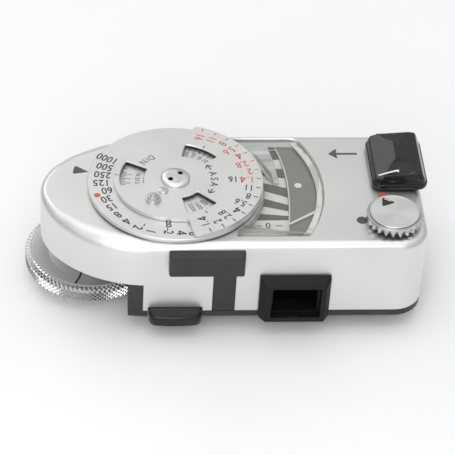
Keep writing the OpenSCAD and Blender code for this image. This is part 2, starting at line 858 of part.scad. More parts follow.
module battery_contact() {
    color(steel) {
        disc(3.0, 11.2, 11.5, [cell_x, cell_y]);
        box([cell_x - 0.8, cell_y - 0.8, 11.5], [cell_x + 0.8, cell_y + 0.8, 12.2]);
    }
}

module battery_cover() {
    color(bright) difference() {
        union() {
            disc(9.0, base_bottom, base_bottom + 0.9, [cell_x, cell_y]);
            disc(8.5, base_bottom + 0.9, base_inner - 0.4, [cell_x, cell_y]);
        }
        box([cell_x - 5.5, cell_y - 0.75, base_bottom - over], [cell_x + 5.5, cell_y + 0.75, base_bottom + 0.5]);
    }
}

// ---- foot -----------------------------------------------------------------------------------

module foot_hole_pattern() {
    for (x = [-1, 1], y = [-1, 1]) translate([x * foot_screw_x, y * foot_screw_y, 0]) children();
}

module shoe_foot() {
    color(steel) difference() {
        hull() for (x = [-1, 1], y = [-1, 1])
            disc(1.5, 0, foot_t, [x * (foot_w / 2 - 1.5), y * (foot_len / 2 - 1.5)]);
        foot_hole_pattern() countersink(1.5, 0.8, 0.15, foot_t + over);
    }
}

module foot_neck() {
    color(steel) difference() {
        box([-neck_w / 2, -8, foot_t], [neck_w / 2, 8, base_bottom]);
        foot_hole_pattern() disc(0.83, foot_t - over, base_bottom + over);
    }
}

module foot_screws() {
    color(steel) foot_hole_pattern() countersunk_screw(1.5, 0.8, 0.15, base_inner - 0.1);
}

module base_screws() {
    color(steel) for (p = base_screw_at) translate([p[0], p[1], 0])
        countersunk_screw(1.3, 0.6, base_bottom + 0.05, 9.5);
}

top_casing();
base_plate();
nose_plate();
front_bar();
bar_stem();
cell_hood();
cell_baffle();
cell_window();
photo_cell();
release_tab();
window_lens();
window_frame();
needle_field_plate();
scale_band_plate();
movement_frame();
movement_bridge();
pivot_jewels();
yoke_ring();
core_magnet();
moving_coil();
pivot_staff();
needle();
hairspring();
dial_bush();
dial_spindle();
speed_gear();
speed_disc();
calculator_disc();
centre_screw();
index_rivet();
film_speed_button();
coupling_wheel();
wheel_spindle();
wheel_pinion();
coupling_pin();
wheel_nut();
wheel_bush();
wheel_spring();
lift_plate();
switch_slide();
slide_carriage();
slide_guide();
slide_spring();
switch_contacts();
range_knob();
knob_cap();
range_shaft();
range_wiper();
range_contacts();
circuit_board();
resistors();
trim_pot();
battery();
battery_holder();
battery_contact();
battery_cover();
shoe_foot();
foot_neck();
foot_screws();
base_screws();
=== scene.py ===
import json
import math
import bpy
import bmesh
from mathutils import Matrix, Vector


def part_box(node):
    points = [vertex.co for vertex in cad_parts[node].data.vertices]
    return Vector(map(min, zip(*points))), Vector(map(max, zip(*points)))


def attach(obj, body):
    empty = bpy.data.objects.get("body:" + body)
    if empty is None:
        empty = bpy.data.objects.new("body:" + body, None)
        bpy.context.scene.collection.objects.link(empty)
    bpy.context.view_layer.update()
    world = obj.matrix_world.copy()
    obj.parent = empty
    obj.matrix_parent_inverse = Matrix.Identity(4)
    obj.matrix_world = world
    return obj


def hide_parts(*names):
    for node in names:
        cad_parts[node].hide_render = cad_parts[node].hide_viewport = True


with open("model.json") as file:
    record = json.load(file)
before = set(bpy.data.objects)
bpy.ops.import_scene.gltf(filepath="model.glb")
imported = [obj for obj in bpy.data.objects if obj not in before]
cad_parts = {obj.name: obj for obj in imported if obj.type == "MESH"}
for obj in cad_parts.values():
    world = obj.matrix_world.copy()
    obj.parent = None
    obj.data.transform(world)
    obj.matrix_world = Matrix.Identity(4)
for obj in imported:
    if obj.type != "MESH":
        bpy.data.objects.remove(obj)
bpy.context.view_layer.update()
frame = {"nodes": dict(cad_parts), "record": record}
mm = 0.001


# A shader value: Python arithmetic on it adds Math nodes to its tree.
class Value:
    def __init__(self, graph, socket):
        self.graph = graph
        self.socket = socket

    def maths(self, operation, other=None, swap=False):
        first, second = (other, self) if swap else (self, other)
        inputs = {0: first} if second is None else {0: first, 1: second}
        return self.graph.value("ShaderNodeMath", {"operation": operation}, inputs, 0)

    def __add__(self, other): return self.maths("ADD", other)
    def __radd__(self, other): return self.maths("ADD", other, True)
    def __sub__(self, other): return self.maths("SUBTRACT", other)
    def __rsub__(self, other): return self.maths("SUBTRACT", other, True)
    def __mul__(self, other): return self.maths("MULTIPLY", other)
    def __rmul__(self, other): return self.maths("MULTIPLY", other, True)
    def __pow__(self, other): return self.maths("POWER", other)


# One material's node tree.
class Finish:
    def __init__(self, name):
        self.material = bpy.data.materials.new(name)
        self.material.use_nodes = True
        self.tree = self.material.node_tree
        self.tree.nodes.clear()
        self.place = self.value("ShaderNodeTexCoord", {}, {}, "Object")

    def node(self, kind, settings, inputs):
        made = self.tree.nodes.new(kind)
        for key, setting in settings.items():
            setattr(made, key, setting)
        for key, given in inputs.items():
            if isinstance(given, Value):
                self.tree.links.new(given.socket, made.inputs[key])
            else:
                made.inputs[key].default_value = given
        return made

    def value(self, kind, settings, inputs, output):
        return Value(self, self.node(kind, settings, inputs).outputs[output])

    def vector(self, operation, first, second, output=0):
        return self.value("ShaderNodeVectorMath", {"operation": operation}, {0: first, 1: second}, output)

    def noise(self, scale, detail=2.0, stretch=None):
        place = self.vector("MULTIPLY", self.place, stretch) if stretch else self.place
        inputs = {"Vector": place, "Scale": scale, "Detail": detail}
        return self.value("ShaderNodeTexNoise", {}, inputs, "Fac")

    def step(self, value, low, high):
        inputs = {"Value": value, "From Min": low, "From Max": high}
        return self.value("ShaderNodeMapRange", {"clamp": True}, inputs, "Result")

    def mix(self, factor, first, second):
        inputs = {"Factor": factor, 6: rgba(first), 7: rgba(second)}
        return self.value("ShaderNodeMix", {"data_type": "RGBA"}, inputs, 2)

    def bump(self, height, distance):
        return self.value("ShaderNodeBump", {}, {"Height": height, "Distance": distance}, "Normal")

    # Thin scratches: the zero lines of a stretched, warped noise, broken up by a second one.
    def scratches(self, scale, stretch, width, amount):
        line = self.noise(scale, 1.0, stretch)
        near = 1 - self.step((line - 0.5).maths("ABSOLUTE"), 0.0, width)
        patch = self.step(self.noise(scale * 0.6, 2.0), 1 - amount, 1.05 - amount)
        return near * patch

    def finish(self, inputs):
        return self.output(self.node("ShaderNodeBsdfPrincipled", {}, inputs))

    def output(self, shader):
        out = self.node("ShaderNodeOutputMaterial", {}, {})
        self.tree.links.new(shader.outputs[0], out.inputs["Surface"])
        return self.material


def rgba(colour):
    return colour if isinstance(colour, Value) else (*colour[:3], 1.0)


# ---- finishes

# Satin plated metal: a fine blasted grain, faint clouding and a few hairline scratches.
def satinMetal(name, values):
    f = Finish(name)
    cloud = f.noise(values["cloud"], 3.0)
    grain = f.noise(values["grain"], 2.0)
    marks = f.scratches(values["grain"] * 0.03, (1.0, 6.0, 1.0), 0.012, values["wear"])
    tone = f.mix(f.step(cloud, 0.3, 0.7), values["dark"], values["light"])
    tone = f.mix(marks * 0.25, tone, values["mark"])
    rough = values["rough"] + (grain - 0.5) * values["spread"] + (cloud - 0.5) * 0.08
    return f.finish({
        "Base Color": tone, "Metallic": 1.0, "Roughness": rough,
        "Normal": f.bump(grain - marks * 0.5, values["bump"] * mm),
    })


# Black paint or moulding: a fine texture, duller and brighter patches, dust and light scuffs.
def blackFinish(name, values):
    f = Finish(name)
    cloud = f.noise(220, 4.0)
    grain = f.noise(values["grain"], 2.0)
    scuffs = f.scratches(260, (1.0, 1.0, 5.0), 0.01, values["wear"])
    dust = f.step(f.noise(2600, 1.0), 0.74, 0.78) * values["dust"]
    tone = f.mix(f.step(cloud, 0.3, 0.7), values["dark"], values["light"])
    tone = f.mix(scuffs * 0.35 + dust, tone, (0.3, 0.3, 0.3))
    rough = values["rough"] + (cloud - 0.5) * 0.12 + scuffs * 0.2
    return f.finish({
        "Base Color": tone, "Roughness": rough, "Specular IOR Level": values["shine"],
        "Coat Weight": values["coat"], "Coat Roughness": 0.08,
        "Normal": f.bump(grain - scuffs, values["bump"] * mm),
    })


# Turned metal: grooves in circles round an axis, at centre (x, y) in millimetres.
def turnedMetal(name, centre, values):
    f = Finish(name)
    place = f.vector("SUBTRACT", f.place, (centre[0] * mm, centre[1] * mm, 0))
    radius = f.vector("LENGTH", f.vector("MULTIPLY", place, (1, 1, 0)), (0, 0, 0), "Value")
    rings = f.value("ShaderNodeTexNoise", {"noise_dimensions": "1D"},
                    {"W": radius * values["pitch"], "Scale": 1.0, "Detail": 3.0}, "Fac")
    tone = f.mix(f.step(rings, 0.3, 0.7), values["dark"], values["light"])
    tangent = f.value("ShaderNodeTangent", {"direction_type": "RADIAL", "axis": "Z"}, {}, "Tangent")
    return f.finish({
        "Base Color": tone, "Metallic": values["metal"], "Roughness": values["rough"] + (rings - 0.5) * 0.1,
        "Anisotropic": values["brush"], "Tangent": tangent,
        "Normal": f.bump(rings, values["bump"] * mm),
    })


# Printed ink: flat, slightly worn.
def ink(name, colour, worn):
    f = Finish(name)
    wear = f.step(f.noise(2200, 3.0), 0.62, 0.72)
    return f.finish({
        "Base Color": f.mix(wear * worn, colour, (0.6, 0.6, 0.58)), "Roughness": 0.55 + wear * 0.1,
        "Normal": f.bump(f.noise(9000, 1.0), 0.002 * mm),
    })


# Matt paint or moulded plastic with a soft mottle.
def mattFinish(name, values):
    f = Finish(name)
    cloud = f.noise(values["cloud"], 3.0)
    grain = f.noise(values["grain"], 2.0)
    return f.finish({
        "Base Color": f.mix(cloud, values["dark"], values["light"]), "Metallic": values["metal"],
        "Roughness": values["rough"] + (grain - 0.5) * 0.1, "Normal": f.bump(grain, values["bump"] * mm),
    })


# Clear plastic: seen through from the front, shinier at a glancing angle, with faint streaks.
def clearPlastic(name, values):
    f = Finish(name)
    marks = f.scratches(180, (5.0, 1.0, 1.0), 0.01, 0.45)
    streaks = f.step(f.noise(values["streaks"], 3.0, (0.15, 1.0, 1.0)), 0.35, 0.7)
    facing = f.value("ShaderNodeLayerWeight", {}, {"Blend": 0.5}, "Facing")
    clear = f.node("ShaderNodeBsdfTransparent", {}, {"Color": (*values["tint"], 1)})
    gloss = f.node("ShaderNodeBsdfPrincipled", {}, {
        "Base Color": (*values["body"], 1), "Roughness": values["rough"], "Metallic": 0.0,
        "Specular IOR Level": 1.0, "Normal": f.bump(marks, 0.004 * mm)})
    cover = facing ** 3.0 * values["shine"] + values["haze"] + streaks * values["streaky"] + marks * 0.1
    factor = f.value("ShaderNodeMath", {"operation": "MINIMUM"}, {0: cover, 1: 1.0}, 0)
    mixed = f.node("ShaderNodeMixShader", {}, {"Fac": factor})
    f.tree.links.new(clear.outputs[0], mixed.inputs[1])
    f.tree.links.new(gloss.outputs[0], mixed.inputs[2])
    return f.output(mixed)


# Each CAD piece's low and high corners, in millimetres.
boxOf = {nodeName: [Vector(corner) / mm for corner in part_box(nodeName)] for nodeName in frame["nodes"]}


def middleOf(nodeName):
    return (boxOf[nodeName][0] + boxOf[nodeName][1]) / 2


dialX, dialY = middleOf("speed_disc")[:2]
wheelX, wheelY = middleOf("coupling_wheel")[:2]
knobX, knobY = middleOf("knob_cap")[:2]
speedTop = boxOf["speed_disc"][1].z
filmTop = boxOf["calculator_disc"][1].z
(bodyLeft, bodyFront, caseLow), (bodyRight, bodyBack, caseTop) = boxOf["top_casing"]
bodyMidY = (bodyFront + bodyBack) / 2

# Adds one finish a row; keys name the row's values in order.
def addFinishes(maker, keys, rows):
    for name, *values in rows:
        finishes[name] = maker(name, dict(zip(keys.split(), values)))


finishes = {}
addFinishes(satinMetal, "dark light mark rough spread cloud grain bump wear", (
    ("satinChrome", (0.71, 0.71, 0.705), (0.77, 0.77, 0.765),
     (0.5, 0.5, 0.5), 0.4, 0.16, 60, 9000, 0.006, 0.3),
    ("dialSilver", (0.7, 0.7, 0.69), (0.75, 0.75, 0.74),
     (0.45, 0.45, 0.45), 0.46, 0.18, 90, 11000, 0.005, 0.22),
    ("knurledChrome", (0.46, 0.46, 0.45), (0.6, 0.6, 0.59),
     (0.3, 0.3, 0.3), 0.25, 0.2, 300, 6000, 0.004, 0.3),
    ("screwSteel", (0.52, 0.52, 0.53), (0.66, 0.66, 0.67),
     (0.3, 0.3, 0.3), 0.3, 0.15, 400, 6000, 0.003, 0.35),
))
addFinishes(blackFinish, "dark light rough grain bump shine coat wear dust", (
    ("blackPaint", (0.018, 0.018, 0.019), (0.029, 0.029, 0.03), 0.42, 7000, 0.006, 0.45, 0.0, 0.32, 0.06),
    ("hoodBlack", (0.003, 0.003, 0.003), (0.008, 0.008, 0.008), 0.5, 6000, 0.008, 0.25, 0.0, 0.3, 0.1),
    ("glossBlack", (0.006, 0.006, 0.006), (0.012, 0.0115, 0.011), 0.18, 900, 0.004, 0.25, 0.2, 0.42, 0.12),
))
for inkName, colour, worn in (
        ("blackInk", (0.035, 0.035, 0.037), 0.25),
        # near-black: printed marks, and painted shade on the walls of holes
        ("wallBlack", (0.012, 0.012, 0.012), 0.1),
        ("redInk", (0.52, 0.105, 0.065), 0.3),
        ("whiteInk", (0.78, 0.78, 0.75), 0.1),
        ("greyInk", (0.07, 0.07, 0.07), 0.15),
        # pale: a painted highlight line along edges
        ("paleEdge", (0.72, 0.73, 0.71), 0.05)):
    finishes[inkName] = ink(inkName, colour, worn)
addFinishes(mattFinish, "dark light rough cloud grain bump metal", (
    ("ledgeGrey", (0.4, 0.4, 0.39), (0.5, 0.5, 0.49), 0.35, 120, 9000, 0.003, 0.5),
    ("offWhite", (0.7, 0.7, 0.66), (0.78, 0.78, 0.74), 0.5, 200, 8000, 0.003, 0.0),
    ("fieldGrey", (0.155, 0.152, 0.14), (0.19, 0.187, 0.172), 0.55, 160, 9000, 0.003, 0.0),
    ("brassParts", (0.55, 0.38, 0.16), (0.68, 0.5, 0.24), 0.33, 300, 5000, 0.003, 1.0),
    ("copperParts", (0.55, 0.25, 0.12), (0.7, 0.36, 0.2), 0.35, 500, 6000, 0.006, 1.0),
    ("magnetGrey", (0.1, 0.1, 0.105), (0.16, 0.16, 0.165), 0.5, 900, 5000, 0.01, 0.6),
    ("ruby", (0.3, 0.01, 0.03), (0.45, 0.03, 0.06), 0.12, 900, 4000, 0.0005, 0.0),
    ("boardBrown", (0.16, 0.085, 0.035), (0.24, 0.13, 0.06), 0.5, 700, 4000, 0.006, 0.0),
    ("partBeige", (0.45, 0.34, 0.19), (0.56, 0.43, 0.26), 0.35, 500, 3000, 0.004, 0.0),
    ("partBlue", (0.03, 0.08, 0.25), (0.05, 0.12, 0.34), 0.4, 500, 3000, 0.004, 0.0),
))
addFinishes(clearPlastic, "tint body rough shine haze streaks streaky", (
    ("clearPlastic", (0.96, 0.965, 0.96), (0.75, 0.77, 0.76), 0.05, 0.9, 0.02, 300, 0.0),
    ("clearEdge", (0.78, 0.79, 0.76), (0.5, 0.51, 0.48), 0.15, 1.0, 0.12, 900, 0.5),
    ("prismPlastic", (0.88, 0.89, 0.87), (0.66, 0.67, 0.65), 0.12, 1.0, 0.35, 500, 0.6),
    ("smokedPlastic", (0.05, 0.05, 0.05), (0.01, 0.01, 0.01), 0.08, 1.0, 0.2, 600, 0.1),
))
print("finishes ready:", len(finishes))

cadFinish = {
    "satin_chrome": "satinChrome", "black_paint": "blackPaint", "gloss_black": "glossBlack",
    "dark_plastic": "hoodBlack", "knurled_chrome": "knurledChrome", "dial_silver": "dialSilver",
    "screw_steel": "screwSteel", "brass_parts": "brassParts", "copper_parts": "copperParts",
    "clear_plastic": "clearPlastic", "off_white": "offWhite", "field_grey": "fieldGrey",
    "magnet_grey": "magnetGrey", "ruby": "ruby", "board_brown": "boardBrown", "part_beige": "partBeige",
    "part_blue": "partBlue", "cell_steel": "screwSteel"}
slotOf = {entry["node"]: entry["material_slot"] for entry in frame["record"]["subparts"]}
for nodeName, cadObject in frame["nodes"].items():
    cadObject.data.materials.clear()
    cadObject.data.materials.append(finishes[cadFinish[slotOf[nodeName]]])
frame["nodes"]["cell_window"].data.materials[0] = finishes["smokedPlastic"]


# ---- mesh helpers; all take millimetres

inkHeight = 0.012   # how far printed marks stand up
glyph = {"half": 0.25, "rise": 0.36, "stem": 0.45, "bar": 0.42, "overhang": 1.15, "overlap": 0.3,
         "weight": 0.21, "boldWeight": 1.6, "fourShift": 0.24, "restShift": 0.33, "spacing": 1.04}

def makeMesh(name, points, faces, finish, body, replaced=(), slot=None, sharp=32):
    mesh = bpy.data.meshes.new(name)
    mesh.from_pydata([(x * mm, y * mm, z * mm) for x, y, z in points], [], faces)
    mesh.validate()
    made = bpy.data.objects.new(name, mesh)
    bpy.context.scene.collection.objects.link(made)
    tidyMesh(made, sharp)
    place(made, finish, body, replaced, slot)
    return made


def tidyMesh(made, sharp):
    work = bmesh.new()
    work.from_mesh(made.data)
    bmesh.ops.remove_doubles(work, verts=work.verts, dist=0.0005 * mm)
    bmesh.ops.recalc_face_normals(work, faces=work.faces)
    work.to_mesh(made.data)
    work.free()
    made.data.polygons.foreach_set("use_smooth", [True] * len(made.data.polygons))
    made.data.set_sharp_from_angle(angle=math.radians(sharp))


def place(made, finish, body, replaced=(), slot=None):
    made.data.materials.clear()
    made.data.materials.append(finishes[finish])
    if body and not made.modifiers:
        flat = made.modifiers.new("flatFaces", "WEIGHTED_NORMAL")
        flat.keep_sharp = True
    if body:
        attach(made, body)
    for nodeName in replaced:
        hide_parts(nodeName)


# Applies an object's modifiers to its own mesh.
def applyAll(made, sharp):
    bpy.context.view_layer.update()
    graph = bpy.context.evaluated_depsgraph_get()
    mesh = bpy.data.meshes.new_from_object(made.evaluated_get(graph))
    made.modifiers.clear()
    made.data = mesh
    tidyMesh(made, sharp)


def cut(made, cutters, sharp):
    for cutter in cutters:
        modifier = made.modifiers.new("cut", "BOOLEAN")
        modifier.operation = "DIFFERENCE"
        modifier.solver = "EXACT"
        modifier.object = cutter
    applyAll(made, sharp)
    for cutter in cutters:
        bpy.data.objects.remove(cutter)


# Paints shade on the walls of the holes that a test picks out by their place in millimetres: the near-black
# finish stands in for the shadow inside them.
def paintShadeInHoles(made, test):
    made.data.materials.append(finishes["wallBlack"])
    for polygon in made.data.polygons:
        x, y, z = (value / mm for value in polygon.center)
        if test(x, y, z, polygon.normal):
            polygon.material_index = len(made.data.materials) - 1


def bevel(made, width, angle, sharp):
    modifier = made.modifiers.new("bevel", "BEVEL")
    modifier.use_clamp_overlap = True
    modifier.width = width * mm
    modifier.segments = 2
    modifier.limit_method = "ANGLE"
    modifier.angle_limit = math.radians(angle)
    applyAll(made, sharp)


def cutterFrom(points, faces):
    return makeMesh("cutter", points, faces, "blackPaint", None)


def arcPoints(cx, cy, radius, start, end, count):
    return [(cx + radius * math.cos(math.radians(start + (end - start) * i / count)),
             cy + radius * math.sin(math.radians(start + (end - start) * i / count)))
            for i in range(count + 1)]


# Joins rings of equal length into a skin, closed at both ends.
def loftData(rings, capped=True):
    count = len(rings[0])
    points = [p for ring in rings for p in ring]
    faces = []
    for r in range(len(rings) - 1):
        for i in range(count):
            j = (i + 1) % count
            faces.append((r * count + i, r * count + j, (r + 1) * count + j, (r + 1) * count + i))
    if capped:
        faces += [tuple(reversed(range(count))), tuple(len(points) - count + i for i in range(count))]
    return points, faces


# Adds one closed skin to another, for a piece made of several.
def joinData(first, second):
    start = len(first[0])
    return first[0] + second[0], first[1] + [tuple(index + start for index in face) for face in second[1]]


def prismData(outline, low, high):
    return loftData([[(x, y, low) for x, y in outline], [(x, y, high) for x, y in outline]])


def boxData(low, high):
    outline = [(low[0], low[1]), (high[0], low[1]), (high[0], high[1]), (low[0], high[1])]
    return prismData(outline, low[2], high[2])


# Turns a profile of (radius, height) points round the vertical through a centre.
def latheRings(profile, centre, segments):
    return [[(centre[0] + radius * math.cos(2 * math.pi * i / segments),
              centre[1] + radius * math.sin(2 * math.pi * i / segments), height) for i in range(segments)]
            for radius, height in profile]


def latheData(profile, centre, segments=96):
    return loftData(latheRings(profile, centre, segments))


def spread(start, end, steps):
    return [start + (end - start) * i / steps for i in range(steps + 1)]


# Moves each point of an outline outwards, or inwards for a negative amount.
def grown(outline, amount):
    result = []
    for i, (x, y) in enumerate(outline):
        along = (Vector(outline[(i + 1) % len(outline)]) - Vector(outline[i - 1])).normalized()
        result.append((x + along.y * amount, y - along.x * amount))
    return result


# Pulls the corners of a profile in to small rounds, so that edges catch the light.
def roundCorners(profile, radius, steps=3):
    rounded = [profile[0]]
    for before, corner, after in zip(profile, profile[1:], profile[2:]):
        a = Vector(before) - Vector(corner)
        b = Vector(after) - Vector(corner)
        reach = min(radius, a.length / 2.1, b.length / 2.1)
        start = Vector(corner) + a.normalized() * reach
        end = Vector(corner) + b.normalized() * reach
        for i in range(steps + 1):
            t = i / steps
            rounded.append(tuple(start * (1 - t) ** 2 + Vector(corner) * 2 * t * (1 - t) + end * t ** 2))
    rounded.append(profile[-1])
    return rounded


# The same for a closed outline, with its own radius at each corner.
def roundOutline(outline, radii, steps=6):
    rounded = []
    count = len(outline)
    for i in range(count):
        corner = Vector(outline[i])
        a = Vector(outline[i - 1]) - corner
        b = Vector(outline[(i + 1) % count]) - corner
        radius = radii[i] if isinstance(radii, (list, tuple)) else radii
        if radius <= 0:
            rounded.append(tuple(corner))
            continue
        half = a.angle(b) / 2
        reach = min(radius / math.tan(half), a.length / 2.05, b.length / 2.05)
        start = corner + a.normalized() * reach
        end = corner + b.normalized() * reach
        for k in range(steps + 1):
            t = k / steps
            rounded.append(tuple(start * (1 - t) ** 2 + corner * 2 * t * (1 - t) + end * t ** 2))
    return rounded


# A flat printed mark: a thin closed plate that stands a hair above its surface.
def markPlate(name, outlines, height, finish, body, thickness=inkHeight):
    skin = ([], [])
    for outline in outlines:
        skin = joinData(skin, prismData(outline, height - 0.004, height + thickness))
    return makeMesh(name, *skin, finish, body)


def polar(radius, angle, centre=None):
    cx, cy = centre if centre else (dialX, dialY)
    return (cx + radius * math.cos(math.radians(angle)), cy + radius * math.sin(math.radians(angle)))


def dot(centre, radius, count=40):
    return arcPoints(centre[0], centre[1], radius, 0, 360 - 360 / count, count - 1)


# A straight stroke from one point to another.
def stroke(start, end, width):
    a, b = Vector(start), Vector(end)
    side = (b - a).normalized().orthogonal() * width / 2
    return [tuple(a + side), tuple(a - side), tuple(b - side), tuple(b + side)]


# A figure 4 as three strokes.
def strokeFour(x, y, turn, size, narrow, weight):
    c, s = math.cos(math.radians(turn)), math.sin(math.radians(turn))
    half, rise = glyph["half"] * size * narrow, glyph["rise"] * size
    stem, bar, overlap = half * glyph["stem"], -rise * glyph["bar"], weight * glyph["overlap"]

    def at(u, v):
        return (x + u * c - v * s, y + u * s + v * c)
    return [stroke(at(stem, rise), at(stem, -rise), weight),
            stroke(at(stem + overlap, rise), at(-half, bar), weight),
            stroke(at(-half - overlap, bar), at(half * glyph["overhang"], bar), weight)]


# Figures from the built-in font, made into one thin closed mesh. Each entry is
# (words, x, y, turn in degrees, size, narrowing). A 4 at the end is drawn with strokes.
def figures(name, entries, height, finish, body, bold=0.03):
    parts, fours = [], []
    weight = glyph["weight"] + bold * glyph["boldWeight"]
    for words, x, y, turn, size, narrow in entries:
        if words.endswith("4"):
            shift = glyph["fourShift"] * size * narrow * (len(words) - 1)
            back = math.radians(turn)
            atFour = (x + shift * math.cos(back), y + shift * math.sin(back))
            fours += strokeFour(*atFour, turn, size, narrow, weight)
            words = words[:-1]
            if not words:
                continue
            shift = glyph["restShift"] * size * narrow
            x, y = x - shift * math.cos(back), y - shift * math.sin(back)
        curve = bpy.data.curves.new(name, "FONT")
        curve.body = words
        curve.size = size * mm
        curve.align_x = "CENTER"
        curve.align_y = "CENTER"
        curve.extrude = inkHeight / 2 * mm
        curve.offset = bold * mm
        curve.resolution_u = 4
        curve.space_character = glyph["spacing"]
        holder = bpy.data.objects.new(name, curve)
        bpy.context.scene.collection.objects.link(holder)
        holder.location = (x * mm, y * mm, (height + inkHeight / 2 - 0.003) * mm)
        holder.rotation_euler = (0, 0, math.radians(turn))
        holder.scale = (narrow, 1, 1)
        parts.append(holder)
    if fours:
        markPlate(name + ".fours", fours, height, finish, body)
    if not parts:
        return
    bpy.context.view_layer.update()
    graph = bpy.context.evaluated_depsgraph_get()
    work = bmesh.new()
    for holder in parts:
        mesh = bpy.data.meshes.new_from_object(holder.evaluated_get(graph))
        mesh.transform(holder.matrix_world)
        work.from_mesh(mesh)
        bpy.data.objects.remove(holder)
    bmesh.ops.remove_doubles(work, verts=work.verts, dist=0.0005 * mm)
    mesh = bpy.data.meshes.new(name)
    work.to_mesh(mesh)
    work.free()
    made = bpy.data.objects.new(name, mesh)
    bpy.context.scene.collection.objects.link(made)
    place(made, finish, body)


# ---- casing

casing = {
    "corner": 5.5,       # radius of the right end's upright corners
    "flank": 22.0,       # radius of the nose's sides
    "flankTurn": 50.0,   # how far each side turns before the nose's tip, in degrees
    "edgeRight": 1.5,    # rounding of the top edge along the body and at its right end
    # rounding of the top edge round the nose, by the angle from its tip
    "edgeNose": ((0, 1.1), (30, 1.7), (45, 2.4), (60, 3.1), (78, 3.1), (90, 2.7)),
    "edgeFrom": -23.4,   # where the nose's wide edge starts to narrow
    "edgeTo": -11.0,     # where it is as narrow as at the right end
    "wall": 1.0,
    "roof": 0.9,
    "stepX": -24.2,      # where the deep part starts
    "noseLow": 11.2,     # lower edge of the nose
    "tabGap": 0.2,       # gap each side of the release tab, in its notch
    "tabNotchTop": 5.68,
    "dialBore": 3.0,
    "knobBore": 1.25,
    "slots": ((2.8, 4.8), (7.8, 9.8)),    # front and back of the two slots under the switch
    "slotReach": (2.25, 3.05),            # how far they pass the carriage's left side, each way
    "edgeBevel": 0.07,
    "bevelAngle": 55,
}


def alongStraight(first, last, steps=12):
    return [tuple(a * (1 - k / steps) + b * (k / steps) for a, b in zip(first, last))
            for k in range(1, steps)]


# Outline points with their outward directions.
def casingOutline():
    c = casing
    halfDepth = (bodyBack - bodyFront) / 2
    noseRadius = c["flank"] - (c["flank"] - halfDepth) / math.cos(math.radians(c["flankTurn"]))
    noseX = bodyLeft + noseRadius
    flankX = noseX + (c["flank"] - noseRadius) * math.sin(math.radians(c["flankTurn"]))
    arcs = [
        (bodyRight - c["corner"], bodyFront + c["corner"], c["corner"], -90, 0, 14),
        (bodyRight - c["corner"], bodyBack - c["corner"], c["corner"], 0, 90, 14),
        (flankX, bodyBack - c["flank"], c["flank"], 90, 90 + c["flankTurn"], 22),
        (noseX, bodyMidY, noseRadius, 90 + c["flankTurn"], 270 - c["flankTurn"], 36),
        (flankX, bodyFront + c["flank"], c["flank"], 270 - c["flankTurn"], 270, 22),
    ]
    outline = []
    for cx, cy, radius, start, end, steps in arcs:
        for i in range(steps + 1):
            angle = math.radians(start + (end - start) * i / steps)
            nx, ny = math.cos(angle), math.sin(angle)
            point = (cx + radius * nx, cy + radius * ny, nx, ny)
            if outline and math.dist(outline[-1][:2], point[:2]) < 0.01:
                continue
            if outline and math.dist(outline[-1][:2], point[:2]) > 10:
                outline += alongStraight(outline[-1], point)
            outline.append(point)
    return outline + alongStraight(outline[-1], outline[0])


def casingEdge(x, nx):
    c = casing
    turn = math.degrees(math.acos(max(-1.0, min(1.0, -nx))))
    stops = c["edgeNose"]
    wide = stops[-1][1]
    for (a, low), (b, high) in zip(stops, stops[1:]):
        if a <= turn <= b:
            t = (turn - a) / (b - a)
            wide = low + (high - low) * t * t * (3 - 2 * t)
            break
    t = min(1.0, max(0.0, (x - c["edgeFrom"]) / (c["edgeTo"] - c["edgeFrom"])))
    t = t * t * (3 - 2 * t)
    return wide * (1 - t) + c["edgeRight"] * t


needleWindow = {"outer": 28.1, "inner": 16.8, "left": -6.9, "back": 14.5, "front": -14.2,
                "backCorner": 2.4, "frontCorner": 0.9, "arcSteps": 28}


# The window's outline: two straight sides, an arc about the dial on each end, rounded right corners.
def windowOutline(inset, frontInset=None, innerInset=None):
    w = needleWindow
    outer = w["outer"] - inset
    inner = w["inner"] + (inset if innerInset is None else innerInset)
    back, left = w["back"] - inset, w["left"] + inset
    front = w["front"] + (inset if frontInset is None else frontInset)
    outline = []
    for side, edge, radius in ((-1, front, w["frontCorner"]), (1, back, w["backCorner"])):
        radius = max(0.1, radius - inset)
        cy = edge - side * radius
        cx = dialX + math.sqrt((outer - radius) ** 2 - (cy - dialY) ** 2)
        turn = math.degrees(math.atan2(cy - dialY, cx - dialX))
        corner = arcPoints(cx, cy, radius, turn, 90 * side, 6)
        outline.append((turn, corner))
    (frontTurn, frontCorner), (backTurn, backCorner) = outline
    outerArc = arcPoints(dialX, dialY, outer, frontTurn, backTurn, w["arcSteps"])
    points = frontCorner[::-1] + outerArc[1:-1] + backCorner
    innerTop = math.degrees(math.acos((left - dialX) / inner))
    points.append((left, back))
    points += arcPoints(dialX, dialY, inner, innerTop, -innerTop, w["arcSteps"])
    points.append((left, front))
    return points


